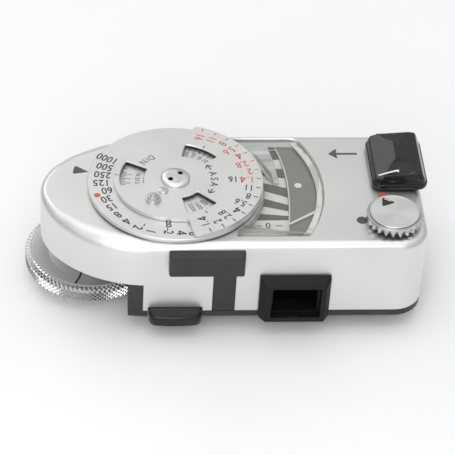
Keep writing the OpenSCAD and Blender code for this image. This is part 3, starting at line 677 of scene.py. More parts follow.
def buildCasing():
    outline = casingOutline()
    rings = [[(x - nx * 0.12, y - ny * 0.12, caseLow) for x, y, nx, ny in outline],
             [(x, y, caseLow + 0.12) for x, y, nx, ny in outline]]
    for i in range(11):
        angle = math.radians(9 * i)
        ring = []
        for x, y, nx, ny in outline:
            radius = casingEdge(x, nx)
            inset = radius * (1 - math.cos(angle))
            ring.append((x - nx * inset, y - ny * inset, caseTop - radius + radius * math.sin(angle)))
        rings.append(ring)
    made = makeMesh("topCasing", *loftData(rings), "satinChrome", None)
    wall = casing["wall"]
    inside = [(x - nx * wall, y - ny * wall) for x, y, nx, ny in outline]
    cutters = [cutterFrom(*prismData(inside, caseLow - 1, caseTop - casing["roof"]))]
    nose = boxData((bodyLeft - 2, bodyFront - 2, caseLow - 2),
                   (casing["stepX"], bodyBack + 2, casing["noseLow"]))
    cutters.append(cutterFrom(*nose))
    for nodeName, gap, top in (("cell_hood", 0, None), ("bar_stem", 0, None),
                               ("release_tab", casing["tabGap"], casing["tabNotchTop"])):
        low, high = boxOf[nodeName]
        cutters.append(cutterFrom(*boxData((low.x - gap, bodyFront - 1, caseLow - 1),
                                           (high.x + gap, bodyFront + wall + 0.5, top or high.z))))
    chamfer = loftData([[(x, y, caseTop - 1.2) for x, y in windowOutline(0.0)],
                        [(x, y, caseTop - 0.25) for x, y in windowOutline(0.0)],
                        [(x, y, caseTop + 0.2) for x, y in windowOutline(-0.3)]])
    cutters.append(cutterFrom(*chamfer))
    for radius, centre, segments in ((casing["dialBore"], (dialX, dialY), 96),
                                     (casing["knobBore"], (knobX, knobY), 40)):
        bore = [(radius, caseTop - 2), (radius, caseTop + 1)]
        cutters.append(cutterFrom(*latheData(bore, centre, segments)))
    carriageLow = boxOf["slide_carriage"][0]
    slotLeft, slotRight = casing["slotReach"]
    for front, back in casing["slots"]:
        cutters.append(cutterFrom(*boxData((carriageLow.x - slotLeft, front, caseTop - 2),
                                           (carriageLow.x + slotRight, back, caseTop + 1))))
    cut(made, cutters, 28)
    bevel(made, casing["edgeBevel"], casing["bevelAngle"], 28)
    place(made, "satinChrome", "casing", ["top_casing"], "satin_chrome")


buildCasing()
print("casing made")


# ---- parts on the front wall

def roundedRect(x0, x1, y0, y1, radius, steps=5):
    outline = []
    for cx, cy, start in ((x1 - radius, y0 + radius, -90), (x1 - radius, y1 - radius, 0),
                          (x0 + radius, y1 - radius, 90), (x0 + radius, y0 + radius, 180)):
        outline += arcPoints(cx, cy, radius, start, start + 90, steps)
    return outline


# Rounded rectangles stacked towards the front. Each level is (y, x0, x1, z0, z1, radius).
def frontStack(levels):
    return [[(x, y, z) for x, z in roundedRect(x0, x1, z0, z1, radius)]
            for y, x0, x1, z0, z1, radius in levels]


# Joins the last ring of a loft back to its first, for a tube that folds back into itself.
def closedLoft(rings):
    points, faces = loftData(rings, False)
    count = len(rings[0])
    last = len(points) - count
    faces += [(last + i, last + (i + 1) % count, (i + 1) % count, i) for i in range(count)]
    return points, faces


def buildFrontBar():
    low, high = boxOf["front_bar"]
    bar = {"corner": 0.4, "topSlope": 0.5, "side": 0.16}
    x0, x1, z0, z1, face = low.x, high.x, low.z, high.z, low.y
    corner, slope, side = bar["corner"], bar["topSlope"], bar["side"]
    rings = frontStack([
        (high.y - 0.02, x0 + 0.04, x1 - 0.04, z0 + 0.04, z1 - 0.04, corner),
        (high.y - 0.1, x0, x1, z0, z1, corner),
        (high.y - 0.5, x0, x1, z0, z1 - 0.08, corner),
        (face + 0.14, x0 + side * 0.5, x1 - side * 0.5, z0 + 0.02, z1 - slope + 0.06, corner),
        (face + 0.04, x0 + side * 0.7, x1 - side * 0.7, z0 + 0.06, z1 - slope - 0.02, corner),
        (face, x0 + side, x1 - side, z0 + 0.14, z1 - slope - 0.12, corner - 0.06),
    ])
    makeMesh("frontBar", *loftData(rings), "blackPaint", "casing", ["front_bar"], "black_paint", 24)
    low, high = boxOf["bar_stem"]
    rings = frontStack([
        (high.y, low.x + 0.05, high.x - 0.05, low.z + 0.03, high.z - 0.02, 0.12),
        (low.y + 0.1, low.x + 0.05, high.x - 0.05, low.z + 0.03, high.z - 0.02, 0.12),
        (low.y, low.x + 0.14, high.x - 0.14, low.z + 0.12, high.z - 0.02, 0.12),
    ])
    makeMesh("barStem", *loftData(rings), "blackPaint", "casing", ["bar_stem"], "black_paint", 30)


def buildHood():
    low, high = boxOf["cell_hood"]
    x0, x1, z0, z1 = low.x, high.x, low.z, high.z
    hood = {"faceLeft": 1.0, "faceRight": 0.9, "faceTop": 1.2, "faceBottom": 0.1, "corner": 0.5, "lip": 0.5}
    tunnelLow, tunnelHigh = boxOf["cell_baffle"]
    tx0, tx1, tz0, tz1 = tunnelLow.x, tunnelHigh.x, tunnelLow.z, tunnelHigh.z
    fx0, fx1 = x0 + hood["faceLeft"], x1 - hood["faceRight"]
    fz0, fz1 = z0 + hood["faceBottom"], z1 - hood["faceTop"]
    face = low.y
    lip = hood["lip"]
    rings = frontStack([
        (high.y, x0 + 0.02, x1 - 0.02, z0 + 0.02, z1 - 0.02, 0.3),
        (bodyFront + 0.05, x0 + 0.02, x1 - 0.02, z0 + 0.02, z1 - 0.02, 0.3),
        (bodyFront - 0.62, x0, x1, z0, z1, 0.45),
        (bodyFront - 0.74, x0 + 0.05, x1 - 0.05, z0 + 0.03, z1 - 0.06, hood["corner"]),
        (face + 0.10, fx0 - 0.07, fx1 + 0.07, fz0 - 0.03, fz1 + 0.07, 0.42),
        (face + 0.02, fx0, fx1, fz0, fz1, 0.38),
        (face, fx0 + 0.07, fx1 - 0.07, fz0 + 0.07, fz1 - 0.07, 0.32),
        (face, tx0 - 0.07, tx1 + 0.07, tz0 - 0.07, tz1 + 0.07, 0.3),
        (face + 0.06, tx0, tx1, tz0, tz1, 0.25),
        (face + lip, tx0 + 0.06, tx1 - 0.06, tz0 + 0.06, tz1 - 0.06, 0.25),
        (face + lip + 0.05, tx0, tx1, tz0, tz1, 0.2),
        (high.y, tx0, tx1, tz0, tz1, 0.2),
    ])
    makeMesh("cellHood", *closedLoft(rings), "hoodBlack", "casing", ["cell_hood"], "dark_plastic", 24)
    levels = []
    ribs = {"first": tunnelLow.y + 0.3, "last": high.y - 0.15, "count": 7, "depth": 0.42}
    pitch = (ribs["last"] - ribs["first"]) / ribs["count"]
    skin = 0.02
    for i in range(ribs["count"]):
        y = ribs["first"] + pitch * i
        depth = ribs["depth"]
        levels.append((y, tx0 + skin + 0.02, tx1 - skin - 0.02, tz0 + skin + 0.02, tz1 - skin - 0.02, 0.2))
        levels.append((y + 0.02, tx0 + depth, tx1 - depth, tz0 + depth, tz1 - depth, 0.15))
        levels.append((y + 0.22, tx0 + depth, tx1 - depth, tz0 + depth, tz1 - depth, 0.15))
        levels.append((y + pitch - 0.05, tx0 + 0.12, tx1 - 0.12, tz0 + 0.12, tz1 - 0.12, 0.18))
    levels.append((ribs["last"], tx0 + skin, tx1 - skin, tz0 + skin, tz1 - skin, 0.2))
    makeMesh("cellBaffle", *closedLoft(frontStack(levels)), "hoodBlack", "casing", ["cell_baffle"],
             "dark_plastic", 20)


def buildReleaseTab():
    low, high = boxOf["release_tab"]
    tab = {"corner": 1.4, "bow": 0.2, "frontTop": 5.25, "backTop": 5.62,
           "armLeft": -21.8, "armWidth": 2.4, "armLow": 3.6, "armTop": 4.5, "rampEnd": -6.0, "rampLow": 3.9}
    x0, x1, z0 = low.x, high.x, low.z
    back = bodyFront + 0.9
    rings = []
    for level, inset in ((0.0, 0.3), (0.05, 0.1), (0.15, 0.0), (0.72, 0.0), (0.84, 0.05), (0.92, 0.14),
                         (0.975, 0.28), (1.0, 0.5)):
        radius = tab["corner"] - inset * 0.3
        front = low.y + inset + tab["bow"]
        left, right = x0 + inset, x1 - inset
        ring = [(left, back)] + arcPoints(left + radius, front + radius, radius, 180, 270, 8)
        span = right - left - 2 * radius
        ring += [(left + radius + span * t / 6, front - tab["bow"] * (1 - (t / 3 - 1) ** 2))
                 for t in range(1, 6)]
        ring += arcPoints(right - radius, front + radius, radius, 270, 360, 8) + [(right, back)]
        slope = (tab["backTop"] - tab["frontTop"]) / (bodyFront - low.y)
        rings.append([(x, y, z0 + (tab["frontTop"] + slope * (min(y, bodyFront) - low.y) - z0) * level)
                      for x, y in ring])
    armBack, rampEnd = back - 0.5, tab["rampEnd"]
    profile = [(armBack, tab["armLow"]), (rampEnd, tab["armLow"]), (rampEnd, tab["rampLow"]),
               (rampEnd - 3.0, high.z), (rampEnd - 4.2, high.z), (rampEnd - 4.2, tab["armTop"]),
               (armBack, tab["armTop"])]
    arm = [[(x, y, z) for y, z in profile] for x in (tab["armLeft"], tab["armLeft"] + tab["armWidth"])]
    makeMesh("releaseTab", *joinData(loftData(rings), loftData(arm)), "glossBlack", "tab",
             ["release_tab"], "gloss_black", 30)


buildFrontBar()
buildHood()
buildReleaseTab()
print("front parts made")


# ---- dial

def buildSpeedDisc():
    low, high = boxOf["speed_disc"]
    disc = {"bore": 1.55, "lowEdge": 0.12, "topEdge": 0.14, "round": 0.05}
    outer = (high.x - low.x) / 2
    profile = roundCorners([(disc["bore"], low.z), (outer - disc["lowEdge"], low.z),
                            (outer, low.z + disc["lowEdge"]), (outer, high.z - disc["topEdge"]),
                            (outer - disc["topEdge"], high.z), (disc["bore"], high.z)], disc["round"], 2)
    makeMesh("speedDisc", *closedLoft(latheRings(profile, (dialX, dialY), 160)), "dialSilver", "dial",
             ["speed_disc"], "dial_silver", 30)


def sectorOutline(inner, outer, start, end):
    corner, steps = 0.25, 10
    outline = []
    for radius, angle, first, last in (
            (outer - corner, start, start - 90, start), (outer - corner, end, end, end + 90),
            (inner + corner, end, end + 90, end + 180), (inner + corner, start, start + 180, start + 270)):
        side = 1 if angle == start else -1
        offset = math.degrees(math.asin(corner / radius))
        cx, cy = polar(radius, angle + side * offset)
        outline.append(arcPoints(cx, cy, corner, first, last, 4))
    startOut, endOut, endIn, startIn = outline
    shift = math.degrees(math.asin(corner / outer))
    outerArc = [polar(outer, a) for a in spread(start + shift * 1.3, end - shift * 1.3, steps)]
    innerShift = math.degrees(math.asin(corner / inner))
    innerArc = [polar(inner, a) for a in spread(end - innerShift * 1.2, start + innerShift * 1.2, steps)]
    return startOut + outerArc[1:-1] + endOut + endIn + innerArc[1:-1] + startIn


filmWindows = {"din": (6.0, 10.4, 150, 191), "asaSlow": (6.9, 10.5, 39, 77), "asaFast": (5.5, 10.1, -79, -43)}


def buildCalculatorDisc():
    low, high = boxOf["calculator_disc"]
    disc = {"small": 11.6, "wide": 16.5, "start": -80, "end": 75, "round": 1.0, "bore": 2.03, "bevel": 0.07,
            "bevelAngle": 50}
    small, wide, start, end, r = disc["small"], disc["wide"], disc["start"], disc["end"], disc["round"]
    convex = math.degrees(math.asin(r / (wide - r)))
    concave = math.degrees(math.asin(r / (small + r)))
    outline = [polar(wide, a) for a in spread(start + convex, end - convex, 60)]
    cx, cy = polar(wide - r, end - convex)
    outline += arcPoints(cx, cy, r, end - convex, end + 90, 6)[1:]
    cx, cy = polar(small + r, end + concave)
    outline += arcPoints(cx, cy, r, end - 90, end + concave - 180, 6)
    outline += [polar(small, a) for a in spread(end + concave, start + 360 - concave, 90)][1:-1]
    cx, cy = polar(small + r, start - concave)
    outline += arcPoints(cx, cy, r, start - concave + 180, start + 90, 6)
    cx, cy = polar(wide - r, start + convex)
    outline += arcPoints(cx, cy, r, start - 90, start + convex, 6)[:-1]
    made = makeMesh("calculatorDisc", *prismData(outline, low.z, high.z), "dialSilver", None)
    bore = [(disc["bore"], low.z - 1), (disc["bore"], high.z + 1)]
    cutters = [cutterFrom(*latheData(bore, (dialX, dialY), 48))]
    for inner, outer, first, last in filmWindows.values():
        window = sectorOutline(inner, outer, first, last)
        cutters.append(cutterFrom(*loftData([
            [(x, y, low.z - 0.3) for x, y in window], [(x, y, high.z - 0.2) for x, y in window],
            [(x, y, high.z + 0.1) for x, y in grown(window, 0.22)]])))
    cut(made, cutters, 30)
    bevel(made, disc["bevel"], disc["bevelAngle"], 30)
    place(made, "dialSilver", "film_disc", ["calculator_disc"], "dial_silver")
    # The film windows' walls: part black paint, part painted shade.
    paintShadeInHoles(made, lambda x, y, z, normal: abs(normal.z) < 0.5 and z < high.z - 0.1
            and 5 < math.dist((x, y), (dialX, dialY)) < 10.8)


def buildDialFittings():
    low, high = boxOf["centre_screw"]
    radius = (high.x - low.x) / 2
    screw = {"holeRadius": 0.47, "holeReach": 1.3, "turn": 42, "shank": 0.79, "shankLow": 18.2,
             "collar": 1.98}
    head = filmTop + 0.05
    dome = [(radius, head), (radius, head + 0.22), (radius - 0.12, head + 0.36),
            (radius - 0.35, head + 0.47)] + [
        (radius * (1 - t) + 0.01 * t, head + 0.5 + (high.z - head - 0.5) * (1 - (1 - t) ** 2))
        for t in (0.25, 0.45, 0.65, 0.85, 1.0)]
    profile = [(screw["shank"], screw["shankLow"]), (screw["shank"], speedTop - 0.02),
               (screw["collar"], speedTop), (screw["collar"], head)] + dome
    made = makeMesh("centreScrew", *latheData(profile, (dialX, dialY), 72), "spunScrew", None)
    hole = screw["holeRadius"]
    holes = [polar(screw["holeReach"], screw["turn"] + side) for side in (0, 180)]
    drill = [(hole, head - 0.3), (hole, high.z - 0.1), (hole + 0.1, high.z + 0.2)]
    cut(made, [cutterFrom(*latheData(drill, centre, 24)) for centre in holes], 26)
    place(made, "spunScrew", "dial", ["centre_screw"], "screw_steel")
    # Painted shade inside the two spanner holes.
    paintShadeInHoles(made, lambda x, y, z, normal: min(math.dist((x, y), centre) for centre in holes) < hole + 0.02)
    low, high = boxOf["index_rivet"]
    x, y = middleOf("index_rivet")[:2]
    r = (high.x - low.x) / 2
    edge = low.z + 0.12
    profile = [(r, low.z), (r, edge)] + [
        (r * math.cos(a * 0.16), edge + (high.z - low.z - 0.12) * math.sin(a * 0.16)) for a in range(1, 9)]
    makeMesh("indexRivet", *latheData(profile, (x, y), 32), "screwSteel", "film_disc", ["index_rivet"],
             "screw_steel", 40)
    low, high = boxOf["film_speed_button"]
    x, y = middleOf("film_speed_button")[:2]
    r = (high.x - low.x) / 2
    step = (high.z - low.z) / 1.3
    lowStep, topStep = low.z + 0.5 * step, low.z + 0.95 * step
    profile = roundCorners([(r, low.z), (r, lowStep), (1.1, lowStep), (1.02, topStep), (0.62, topStep),
                            (0.56, high.z), (0.02, high.z)], 0.1, 3)
    makeMesh("filmSpeedStud", *latheData(profile, (x, y), 40), "screwSteel", "film_disc",
             ["film_speed_button"], "screw_steel", 26)


# The shutter speeds, from the disc's left side round to its front, and its other marks.
def printSpeedDisc():
    speeds = {"first": 151.0, "pitch": 9.9, "size": 2.5, "narrow": 0.84,
              "rows": (("1000", 14.4), ("500", 13.9), ("250", 13.8), ("125", 13.9), ("60", 13.1),
                       ("30", 13.9), ("15", 14.0), ("8", 14.5), ("4", 14.7), ("2", 15.0), ("1", 15.0),
                       ("2", 14.5), ("4", 14.6), ("8", 15.0)),
              "whole": (262.5, 272.2, 280.2)}   # where the whole seconds above 1 stand
    entries = []
    for k, (words, radius) in enumerate(speeds["rows"]):
        angle = speeds["first"] + speeds["pitch"] * k
        if k > 10:
            angle = speeds["whole"][k - 11]
        x, y = polar(radius, angle)
        entries.append((words, x, y, angle, speeds["size"], speeds["narrow"]))
    x, y = polar(12.36, -98.1)
    entries.append(("B", x, y, 0, speeds["size"], speeds["narrow"]))
    figures("speedFigures", entries, speedTop, "blackInk", "dial", 0.042)
    dashes = [stroke(polar(13.35, -98.3), polar(14.05, -98.3), 0.22),
              stroke(polar(13.45, -116.7), polar(14.1, -116.7), 0.22)]
    markPlate("speedDashes", dashes, speedTop, "blackInk", "dial")
    markPlate("flashSpeedDot", [dot(polar(15.2, -165.3), 0.62)], speedTop, "redInk", "dial")


# The film-speed scales on the lower disc, seen through the upper disc's windows.
def printFilmScales():
    scale = {"stop": 9.6, "first": 1.25, "narrow": 0.9, "dinTick": 2.7, "dinStep": 11,
             "fastTicks": (-71, 26, 17), "slowTicks": (42, 157, 19)}
    ticks = []
    for k in range(42):
        length = 1.9 if k % 3 == 1 else 0.9
        angle = 163 + scale["dinTick"] * k
        ticks.append(stroke(polar(10.3, angle), polar(10.3 - length, angle), 0.13))
    ticks += [stroke(polar(9.95, angle), polar(9.3, angle), 0.14) for angle in spread(*scale["fastTicks"])]
    ticks += [stroke(polar(10.4, angle), polar(9.6, angle), 0.14) for angle in spread(*scale["slowTicks"])]
    markPlate("filmScaleTicks", ticks, speedTop, "blackInk", "dial")
    entries = []
    for k in range(11):
        angle = 162 + scale["dinStep"] * k
        entries.append((str(36 - 3 * k), *polar(7.2, angle), angle + 90, scale["first"], scale["narrow"]))
    fast = ("3200", "1600", "800", "400", "200", "100", "50", "25", "12", "6")
    for k, words in enumerate(fast):
        angle = -69.5 + scale["stop"] * k
        entries.append((words, *polar(7.9, angle), angle, scale["first"], scale["narrow"]))
    slow = ("25", "50", "100", "200", "400", "800", "1600", "3200", "6400")
    for k, words in enumerate(slow):
        angle = 46 + 9 * k
        entries.append((words, *polar(8.6, angle), angle, scale["first"], scale["narrow"]))
    figures("filmScaleFigures", entries, speedTop, "blackInk", "dial", 0.006)


# The aperture scale on the wide sector, and the marks by the windows.
def printCalculatorDisc():
    centre = (dialX, dialY - 0.24)
    scale = {"first": 68.1, "pitch": 9.76, "size": 2.35, "narrow": 0.80}
    redRows = (("16", 13.7), ("11", 14.0), ("8", 14.3), ("5.6", 13.6), ("4", 14.2), ("2.8", 13.6),
               ("2", 14.35), ("1.4", 13.6))
    blackRows = (("11", 13.9), ("8", 14.3), ("5.6", 13.6), ("4", 14.2), ("2.8", 13.4), ("2", 14.1),
                 ("1.4", 13.1))
    entries, ticks = {"redInk": [], "blackInk": []}, {"redInk": [], "blackInk": []}
    for k, (words, radius) in enumerate(redRows + blackRows):
        finish = "redInk" if k < len(redRows) else "blackInk"
        angle = scale["first"] - scale["pitch"] * k
        x, y = polar(radius, angle, centre)
        entries[finish].append((words, x, y, angle + 180, scale["size"], scale["narrow"]))
        ticks[finish].append(stroke(polar(15.3, angle), polar(16.15 if k < 12 else 16.3, angle), 0.22))
    x, y = polar(10.9, 0.5, centre)
    entries["blackInk"].append(("16", x, y, 180, scale["size"], scale["narrow"]))
    unit = [(words, *polar(7.8, angle, centre), angle + 90, 2.0, 0.85)
            for words, angle in (("D", 124), ("I", 131), ("N", 139))]
    figures("unitLetters", unit, filmTop, "greyInk", "film_disc", 0.004)
    for words, radius, angle in (("A", 7.3, 13.2), ("S", 7.3, 0.8), ("A", 7.3, -11.6)):
        x, y = polar(radius, angle, centre)
        entries["blackInk"].append((words, x, y, angle - 90, 2.0, 0.9))
    for finish in entries:
        figures("apertureFigures." + finish, entries[finish], filmTop, finish, "film_disc")
    arrows = []
    for tip, tail in ((34.4, 22.9), (-32.7, -22.6)):
        side = 1 if tip > tail else -1
        shaft = [polar(7.4, a, centre) for a in spread(tip, tail, 3)]
        arrows += [stroke(shaft[i], shaft[i + 1], 0.24) for i in range(3)]
        for reach in (8.1, 6.7):
            arrows.append(stroke(polar(7.4, tip, centre), polar(reach, tip - side * 6.2, centre), 0.24))
    ticks["blackInk"] += [stroke(polar(10.75, 173.5, centre), polar(11.5, 173.5), 0.16),
                          stroke(polar(10.85, 58.3, centre), polar(11.5, 58.3), 0.2),
                          stroke(polar(10.4, -60.5, centre), polar(11.2, -60.5, centre), 0.2)]
    for finish in ticks:
        markPlate("scaleTicks." + finish, ticks[finish] + (arrows if finish == "blackInk" else []),
                  filmTop, finish, "film_disc")


finishes["spunScrew"] = turnedMetal("spunScrew", (dialX, dialY), {
    "pitch": 14000, "dark": (0.66, 0.66, 0.64), "light": (0.76, 0.76, 0.74), "rough": 0.28, "brush": 0.8,
    "bump": 0.001, "metal": 1.0})
finishes["spunKnob"] = turnedMetal("spunKnob", (knobX, knobY), {
    "pitch": 12000, "dark": (0.66, 0.66, 0.65), "light": (0.80, 0.80, 0.79), "rough": 0.30, "brush": 0.75,
    "bump": 0.006, "metal": 1.0})
finishes["spunWheel"] = turnedMetal("spunWheel", (wheelX, wheelY), {
    "pitch": 9000, "dark": (0.66, 0.66, 0.66), "light": (0.78, 0.78, 0.77), "rough": 0.48, "brush": 0.3,
    "bump": 0.006, "metal": 0.45})

buildSpeedDisc()
buildCalculatorDisc()
buildDialFittings()
printSpeedDisc()
printFilmScales()
printCalculatorDisc()
print("dial made")


# ---- coupling wheel

# The rim's knurl: two sets of crossing grooves, with a pyramid in each diamond between them.
def buildWheel():
    low, high = boxOf["coupling_wheel"]
    wheel = {"diamonds": 84, "rows": 6, "shoulderRows": 3, "groove": 0.33, "shoulder": (1.15, 0.85),
             "rimHeight": 3.5, "lip": 1.3, "dish": 4.6, "dishDepth": 1.1, "bore": 1.5, "hub": 4.2,
             "indexTurn": -106, "indexFrom": 6.5, "indexWidth": 0.4}
    outer = (high.x - low.x) / 2
    columns = wheel["diamonds"] * 2
    rimTop = low.z + wheel["rimHeight"]
    floor = rimTop - wheel["dishDepth"]
    across, down = wheel["shoulder"]
    turnLow, turnHigh = (outer, rimTop - down), (outer - across, rimTop - 0.04)
    slant = math.hypot(across, down)
    path = [((outer, low.z + 0.16 + (turnLow[1] - low.z - 0.16) * k / wheel["rows"]), (1.0, 0.0))
            for k in range(wheel["rows"])]
    path += [(tuple(a + (b - a) * k / wheel["shoulderRows"] for a, b in zip(turnLow, turnHigh)),
              (down / slant, across / slant)) for k in range(wheel["shoulderRows"] + 1)]
    inner = outer - wheel["groove"]
    dishEdge = outer - wheel["lip"]
    dishFoot, hub = outer - wheel["dish"], wheel["hub"]
    profile = [(turnHigh[0] - 0.06, rimTop), (dishEdge - 0.1, rimTop - 0.02),
               (dishFoot + 0.3, floor + 0.04), (dishFoot, floor), (hub + 0.3, floor),
               (hub, floor + 0.3), (hub, high.z - 0.15),
               (hub - 0.15, high.z), (wheel["bore"], high.z), (wheel["bore"], low.z + 1.2),
               (10.6, low.z + 1.2), (10.9, low.z + 0.1), (11.0, low.z), (inner - 0.12, low.z)]
    rings = latheRings(profile, (wheelX, wheelY), columns)
    first = len(rings)
    for row, ((reach, z), (nx, nz)) in enumerate(path):
        ring = []
        for i in range(columns):
            depth = 0 if (i + row) % 2 == 1 and 0 < row < len(path) - 1 else wheel["groove"]
            angle = 2 * math.pi * i / columns
            radius = reach - depth * nx
            x, y = wheelX + radius * math.cos(angle), wheelY + radius * math.sin(angle)
            ring.append((x, y, z - depth * nz))
        rings.append(ring)
    points, faces = loftData(rings, False)
    plain = []
    for face in faces:
        row = face[0] // columns - first
        if row < 0:
            plain.append(face)
            continue
        a, b, c, d = face
        if (a % columns + row) % 2 == 0:
            plain += [(a, b, d), (b, c, d)]
        else:
            plain += [(a, b, c), (a, c, d)]
    last = (len(rings) - 1) * columns
    plain += [(last + i, last + (i + 1) % columns, (i + 1) % columns, i) for i in range(columns)]
    made = makeMesh("couplingWheel", points, plain, "spunWheel", "wheel", ["coupling_wheel"],
                    "knurled_chrome", 18)
    made.data.materials.append(finishes["knurledChrome"])
    for polygon in made.data.polygons:
        if min(polygon.vertices) >= first * columns:
            polygon.material_index = 1
    half = wheel["indexWidth"] / 2
    turn = math.radians(wheel["indexTurn"])
    side = Vector((-math.sin(turn), math.cos(turn))) * half
    strip = []
    for reach, z in ((dishEdge - 0.12, rimTop - 0.02), (dishFoot + 0.3, floor + 0.04),
                     (dishFoot, floor), (wheel["indexFrom"], floor)):
        x, y = polar(reach, wheel["indexTurn"], (wheelX, wheelY))
        strip.append([(x - side.x, y - side.y, z - 0.02), (x + side.x, y + side.y, z - 0.02),
                      (x + side.x, y + side.y, z + 0.02), (x - side.x, y - side.y, z + 0.02)])
    makeMesh("wheelIndex", *loftData(strip), "blackInk", "wheel")


buildWheel()
print("wheel made")


# ---- needle window

def buildWindow():
    high = boxOf["window_lens"][1]
    lens = {"gap": 0.08, "bottom": 20.3, "ledge": 1.2, "ledgeFront": 0.25, "ledgeTop": 20.15, "lipTop": 20.95}
    outline = windowOutline(lens["gap"])
    plate = loftData([[(x, y, lens["bottom"]) for x, y in outline],
                      [(x, y, high.z - 0.1) for x, y in outline],
                      [(x, y, high.z) for x, y in grown(outline, -0.1)]])
    makeMesh("windowLens", *plate, "clearPlastic", "casing", ["window_lens"], "clear_plastic", 25)
    rims = [(0.05, 0.0), (0.05, -0.4), (lens["ledge"], -0.6), (lens["ledge"], -0.35)]
    rings = [[(x, y, lens["ledgeTop"] + rise)
              for x, y in windowOutline(inset, min(inset, lens["ledgeFront"]), min(inset, 0.2))]
             for inset, rise in rims]
    makeMesh("windowLedge", *closedLoft(rings), "ledgeGrey", "casing", (), "satin_chrome", 30)
    lip = [(6.4, -13.95), (6.3, -13.45), (0.74, -12.75), (-6.0, -11.1), (-6.7, -11.35), (-7.1, -12.0),
           (-7.15, -12.9), (-6.8, -13.7), (-6.2, -14.05)]
    rings = [[(x, y, z) for x, y in grown(lip[::-1], -inset)]
             for z, inset in ((lens["ledgeTop"], 0.0), (lens["lipTop"] - 0.15, 0.0),
                              (lens["lipTop"] - 0.03, 0.07), (lens["lipTop"], 0.2))]
    makeMesh("lensLip", *loftData(rings), "clearEdge", "casing", (), "clear_plastic", 40)
    block = [(-6.2, 13.0), (-3.0, 13.4), (0.6, 13.2), (1.6, 8.0), (2.0, 2.4), (0.6, 3.2), (-1.4, 6.6),
             (-3.7, 9.4)]
    rings = [[(x, y, z + 0.05 * (y - 8) * slope) for x, y in grown(block[::-1], -inset)]
             for z, inset, slope in ((19.55, 0.0, 0), (19.75, 0.05, 0.4), (19.95, 0.5, 0.8),
                                     (20.0, 1.1, 1.0))]
    makeMesh("lensPrism", *loftData(rings), "prismPlastic", "casing", (), "clear_plastic", 20)


# The scale behind the window: stripes that lead each needle place to the dial.
def printScaleBands():
    bands = {"right": (-10.9, -7.41, -6.25, -4.98, -3.07, -0.92, 1.89, 4.74, 7.61, 10.51, 13.5),
             "left": (-45.0, -29.0, -20.3, -11.0, -2.0, 7.0, 16.0, 25.0, 34.0, 43.0, 52.0),
             "reach": 15.4, "end": 3.6}
    top = boxOf["scale_band_plate"][1].z
    stripes = []
    for k in range(1, len(bands["right"]) - 1, 2):
        a, b = polar(bands["reach"], bands["left"][k]), polar(bands["reach"], bands["left"][k + 1])
        stripes.append([a, (bands["end"], bands["right"][k]), (bands["end"], bands["right"][k + 1]), b])
    markPlate("scaleBands", stripes, top, "greyInk", "casing")
    figures("zeroMark", [("0", -0.9, -9.0, 0, 2.2, 0.9)], top, "blackInk", "casing")
    dashes = [stroke((left, -9.0), (right, -9.0), 0.24) for left, right in ((-3.1, -2.1), (0.5, 1.8))]
    markPlate("zeroDashes", dashes, top, "blackInk", "casing")
    fieldTop = boxOf["needle_field_plate"][1].z
    markPlate("batteryMark", [dot((5.59, 2.05), 0.7)], fieldTop, "whiteInk", "casing")
    # A pale strip along the field plate's bowed left edge: a painted highlight.
    edge = [(2.53, -11.3), (3.05, -7.6), (3.36, -4.0), (3.52, -0.2), (3.49, 3.14), (3.2, 6.9), (2.6, 10.6),
            (1.75, 14.0)]
    edge += [(x + 0.2, y) for x, y in edge[::-1]]
    markPlate("paintedFieldHighlight", [edge], fieldTop, "paleEdge", "casing", 0.05)


buildWindow()
printScaleBands()
print("window made")


# ---- knob and switch

def buildKnob():
    low, high = boxOf["range_knob"]
    capLow, capHigh = boxOf["knob_cap"]
    knob = {"ridges": 22, "notch": 0.92, "toothLow": 0.35, "toothTop": 1.75, "rim": 0.09, "bore": 1.21,
            "lip": 0.2, "recess": 0.06}
    outer = (high.x - low.x) / 2
    top = high.z - 0.02
    segments = knob["ridges"] * 6
    rings = []
    toothLow = low.z + knob["toothLow"]
    for z, depth, inset in ((toothLow, 1.0, 0.05), (toothLow + 0.12, 1.0, 0.0), (low.z + 1.0, 0.62, 0.0),
                            (low.z + knob["toothTop"], 0.0, knob["rim"] * 0.5),
                            (top - 0.08, 0.0, knob["rim"]), (top, 0.0, knob["rim"] + 0.09)):
        ring = []
        for i in range(segments):
            angle = 2 * math.pi * i / segments
            part = abs(i % 6 - 3) / 3
            radius = outer - inset - knob["notch"] * depth * max(0.0, 1.15 * (1 - part) - 0.15)
            ring.append((knobX + radius * math.cos(angle), knobY + radius * math.sin(angle), z))
        rings.append(ring)
    capRadius = (capHigh.x - capLow.x) / 2
    upper = latheRings([(capRadius + 0.08, top), (capRadius + 0.03, top - 0.12), (knob["bore"], top - 0.12),
                        (knob["bore"], low.z + 0.3)], (knobX, knobY), segments)
    makeMesh("rangeKnob", *closedLoft(rings + upper), "knurledChrome", "knob", ["range_knob"],
             "knurled_chrome", 24)
    face = capHigh.z - knob["recess"]
    profile = [(capRadius, capLow.z), (capRadius, capHigh.z - 0.07), (capRadius - 0.06, capHigh.z),
               (capRadius - knob["lip"], capHigh.z), (capRadius - knob["lip"] - 0.07, face),
               (0.3, face), (0.05, face)]
    makeMesh("knobCap", *latheData(profile, (knobX, knobY)), "spunKnob", "knob", ["knob_cap"],
             "dial_silver", 26)
    arrow = roundOutline([(20.42, -6.15), (20.15, -8.85), (22.85, -7.7)], [0.3, 0.3, 0.35])
    markPlate("knobArrow", [arrow], face, "wallBlack", "knob")
    # A pale stroke inside the arrow near one edge: a painted glint.
    markPlate("knobArrow.paintedGlint", [stroke((20.75, -6.72), (22.0, -7.4), 0.14)], face + 0.03, "paleEdge", "knob")


def softMin(values, blend):
    lowest = min(values)
    return lowest - blend * math.log(sum(math.exp(-(v - lowest) / blend) for v in values))


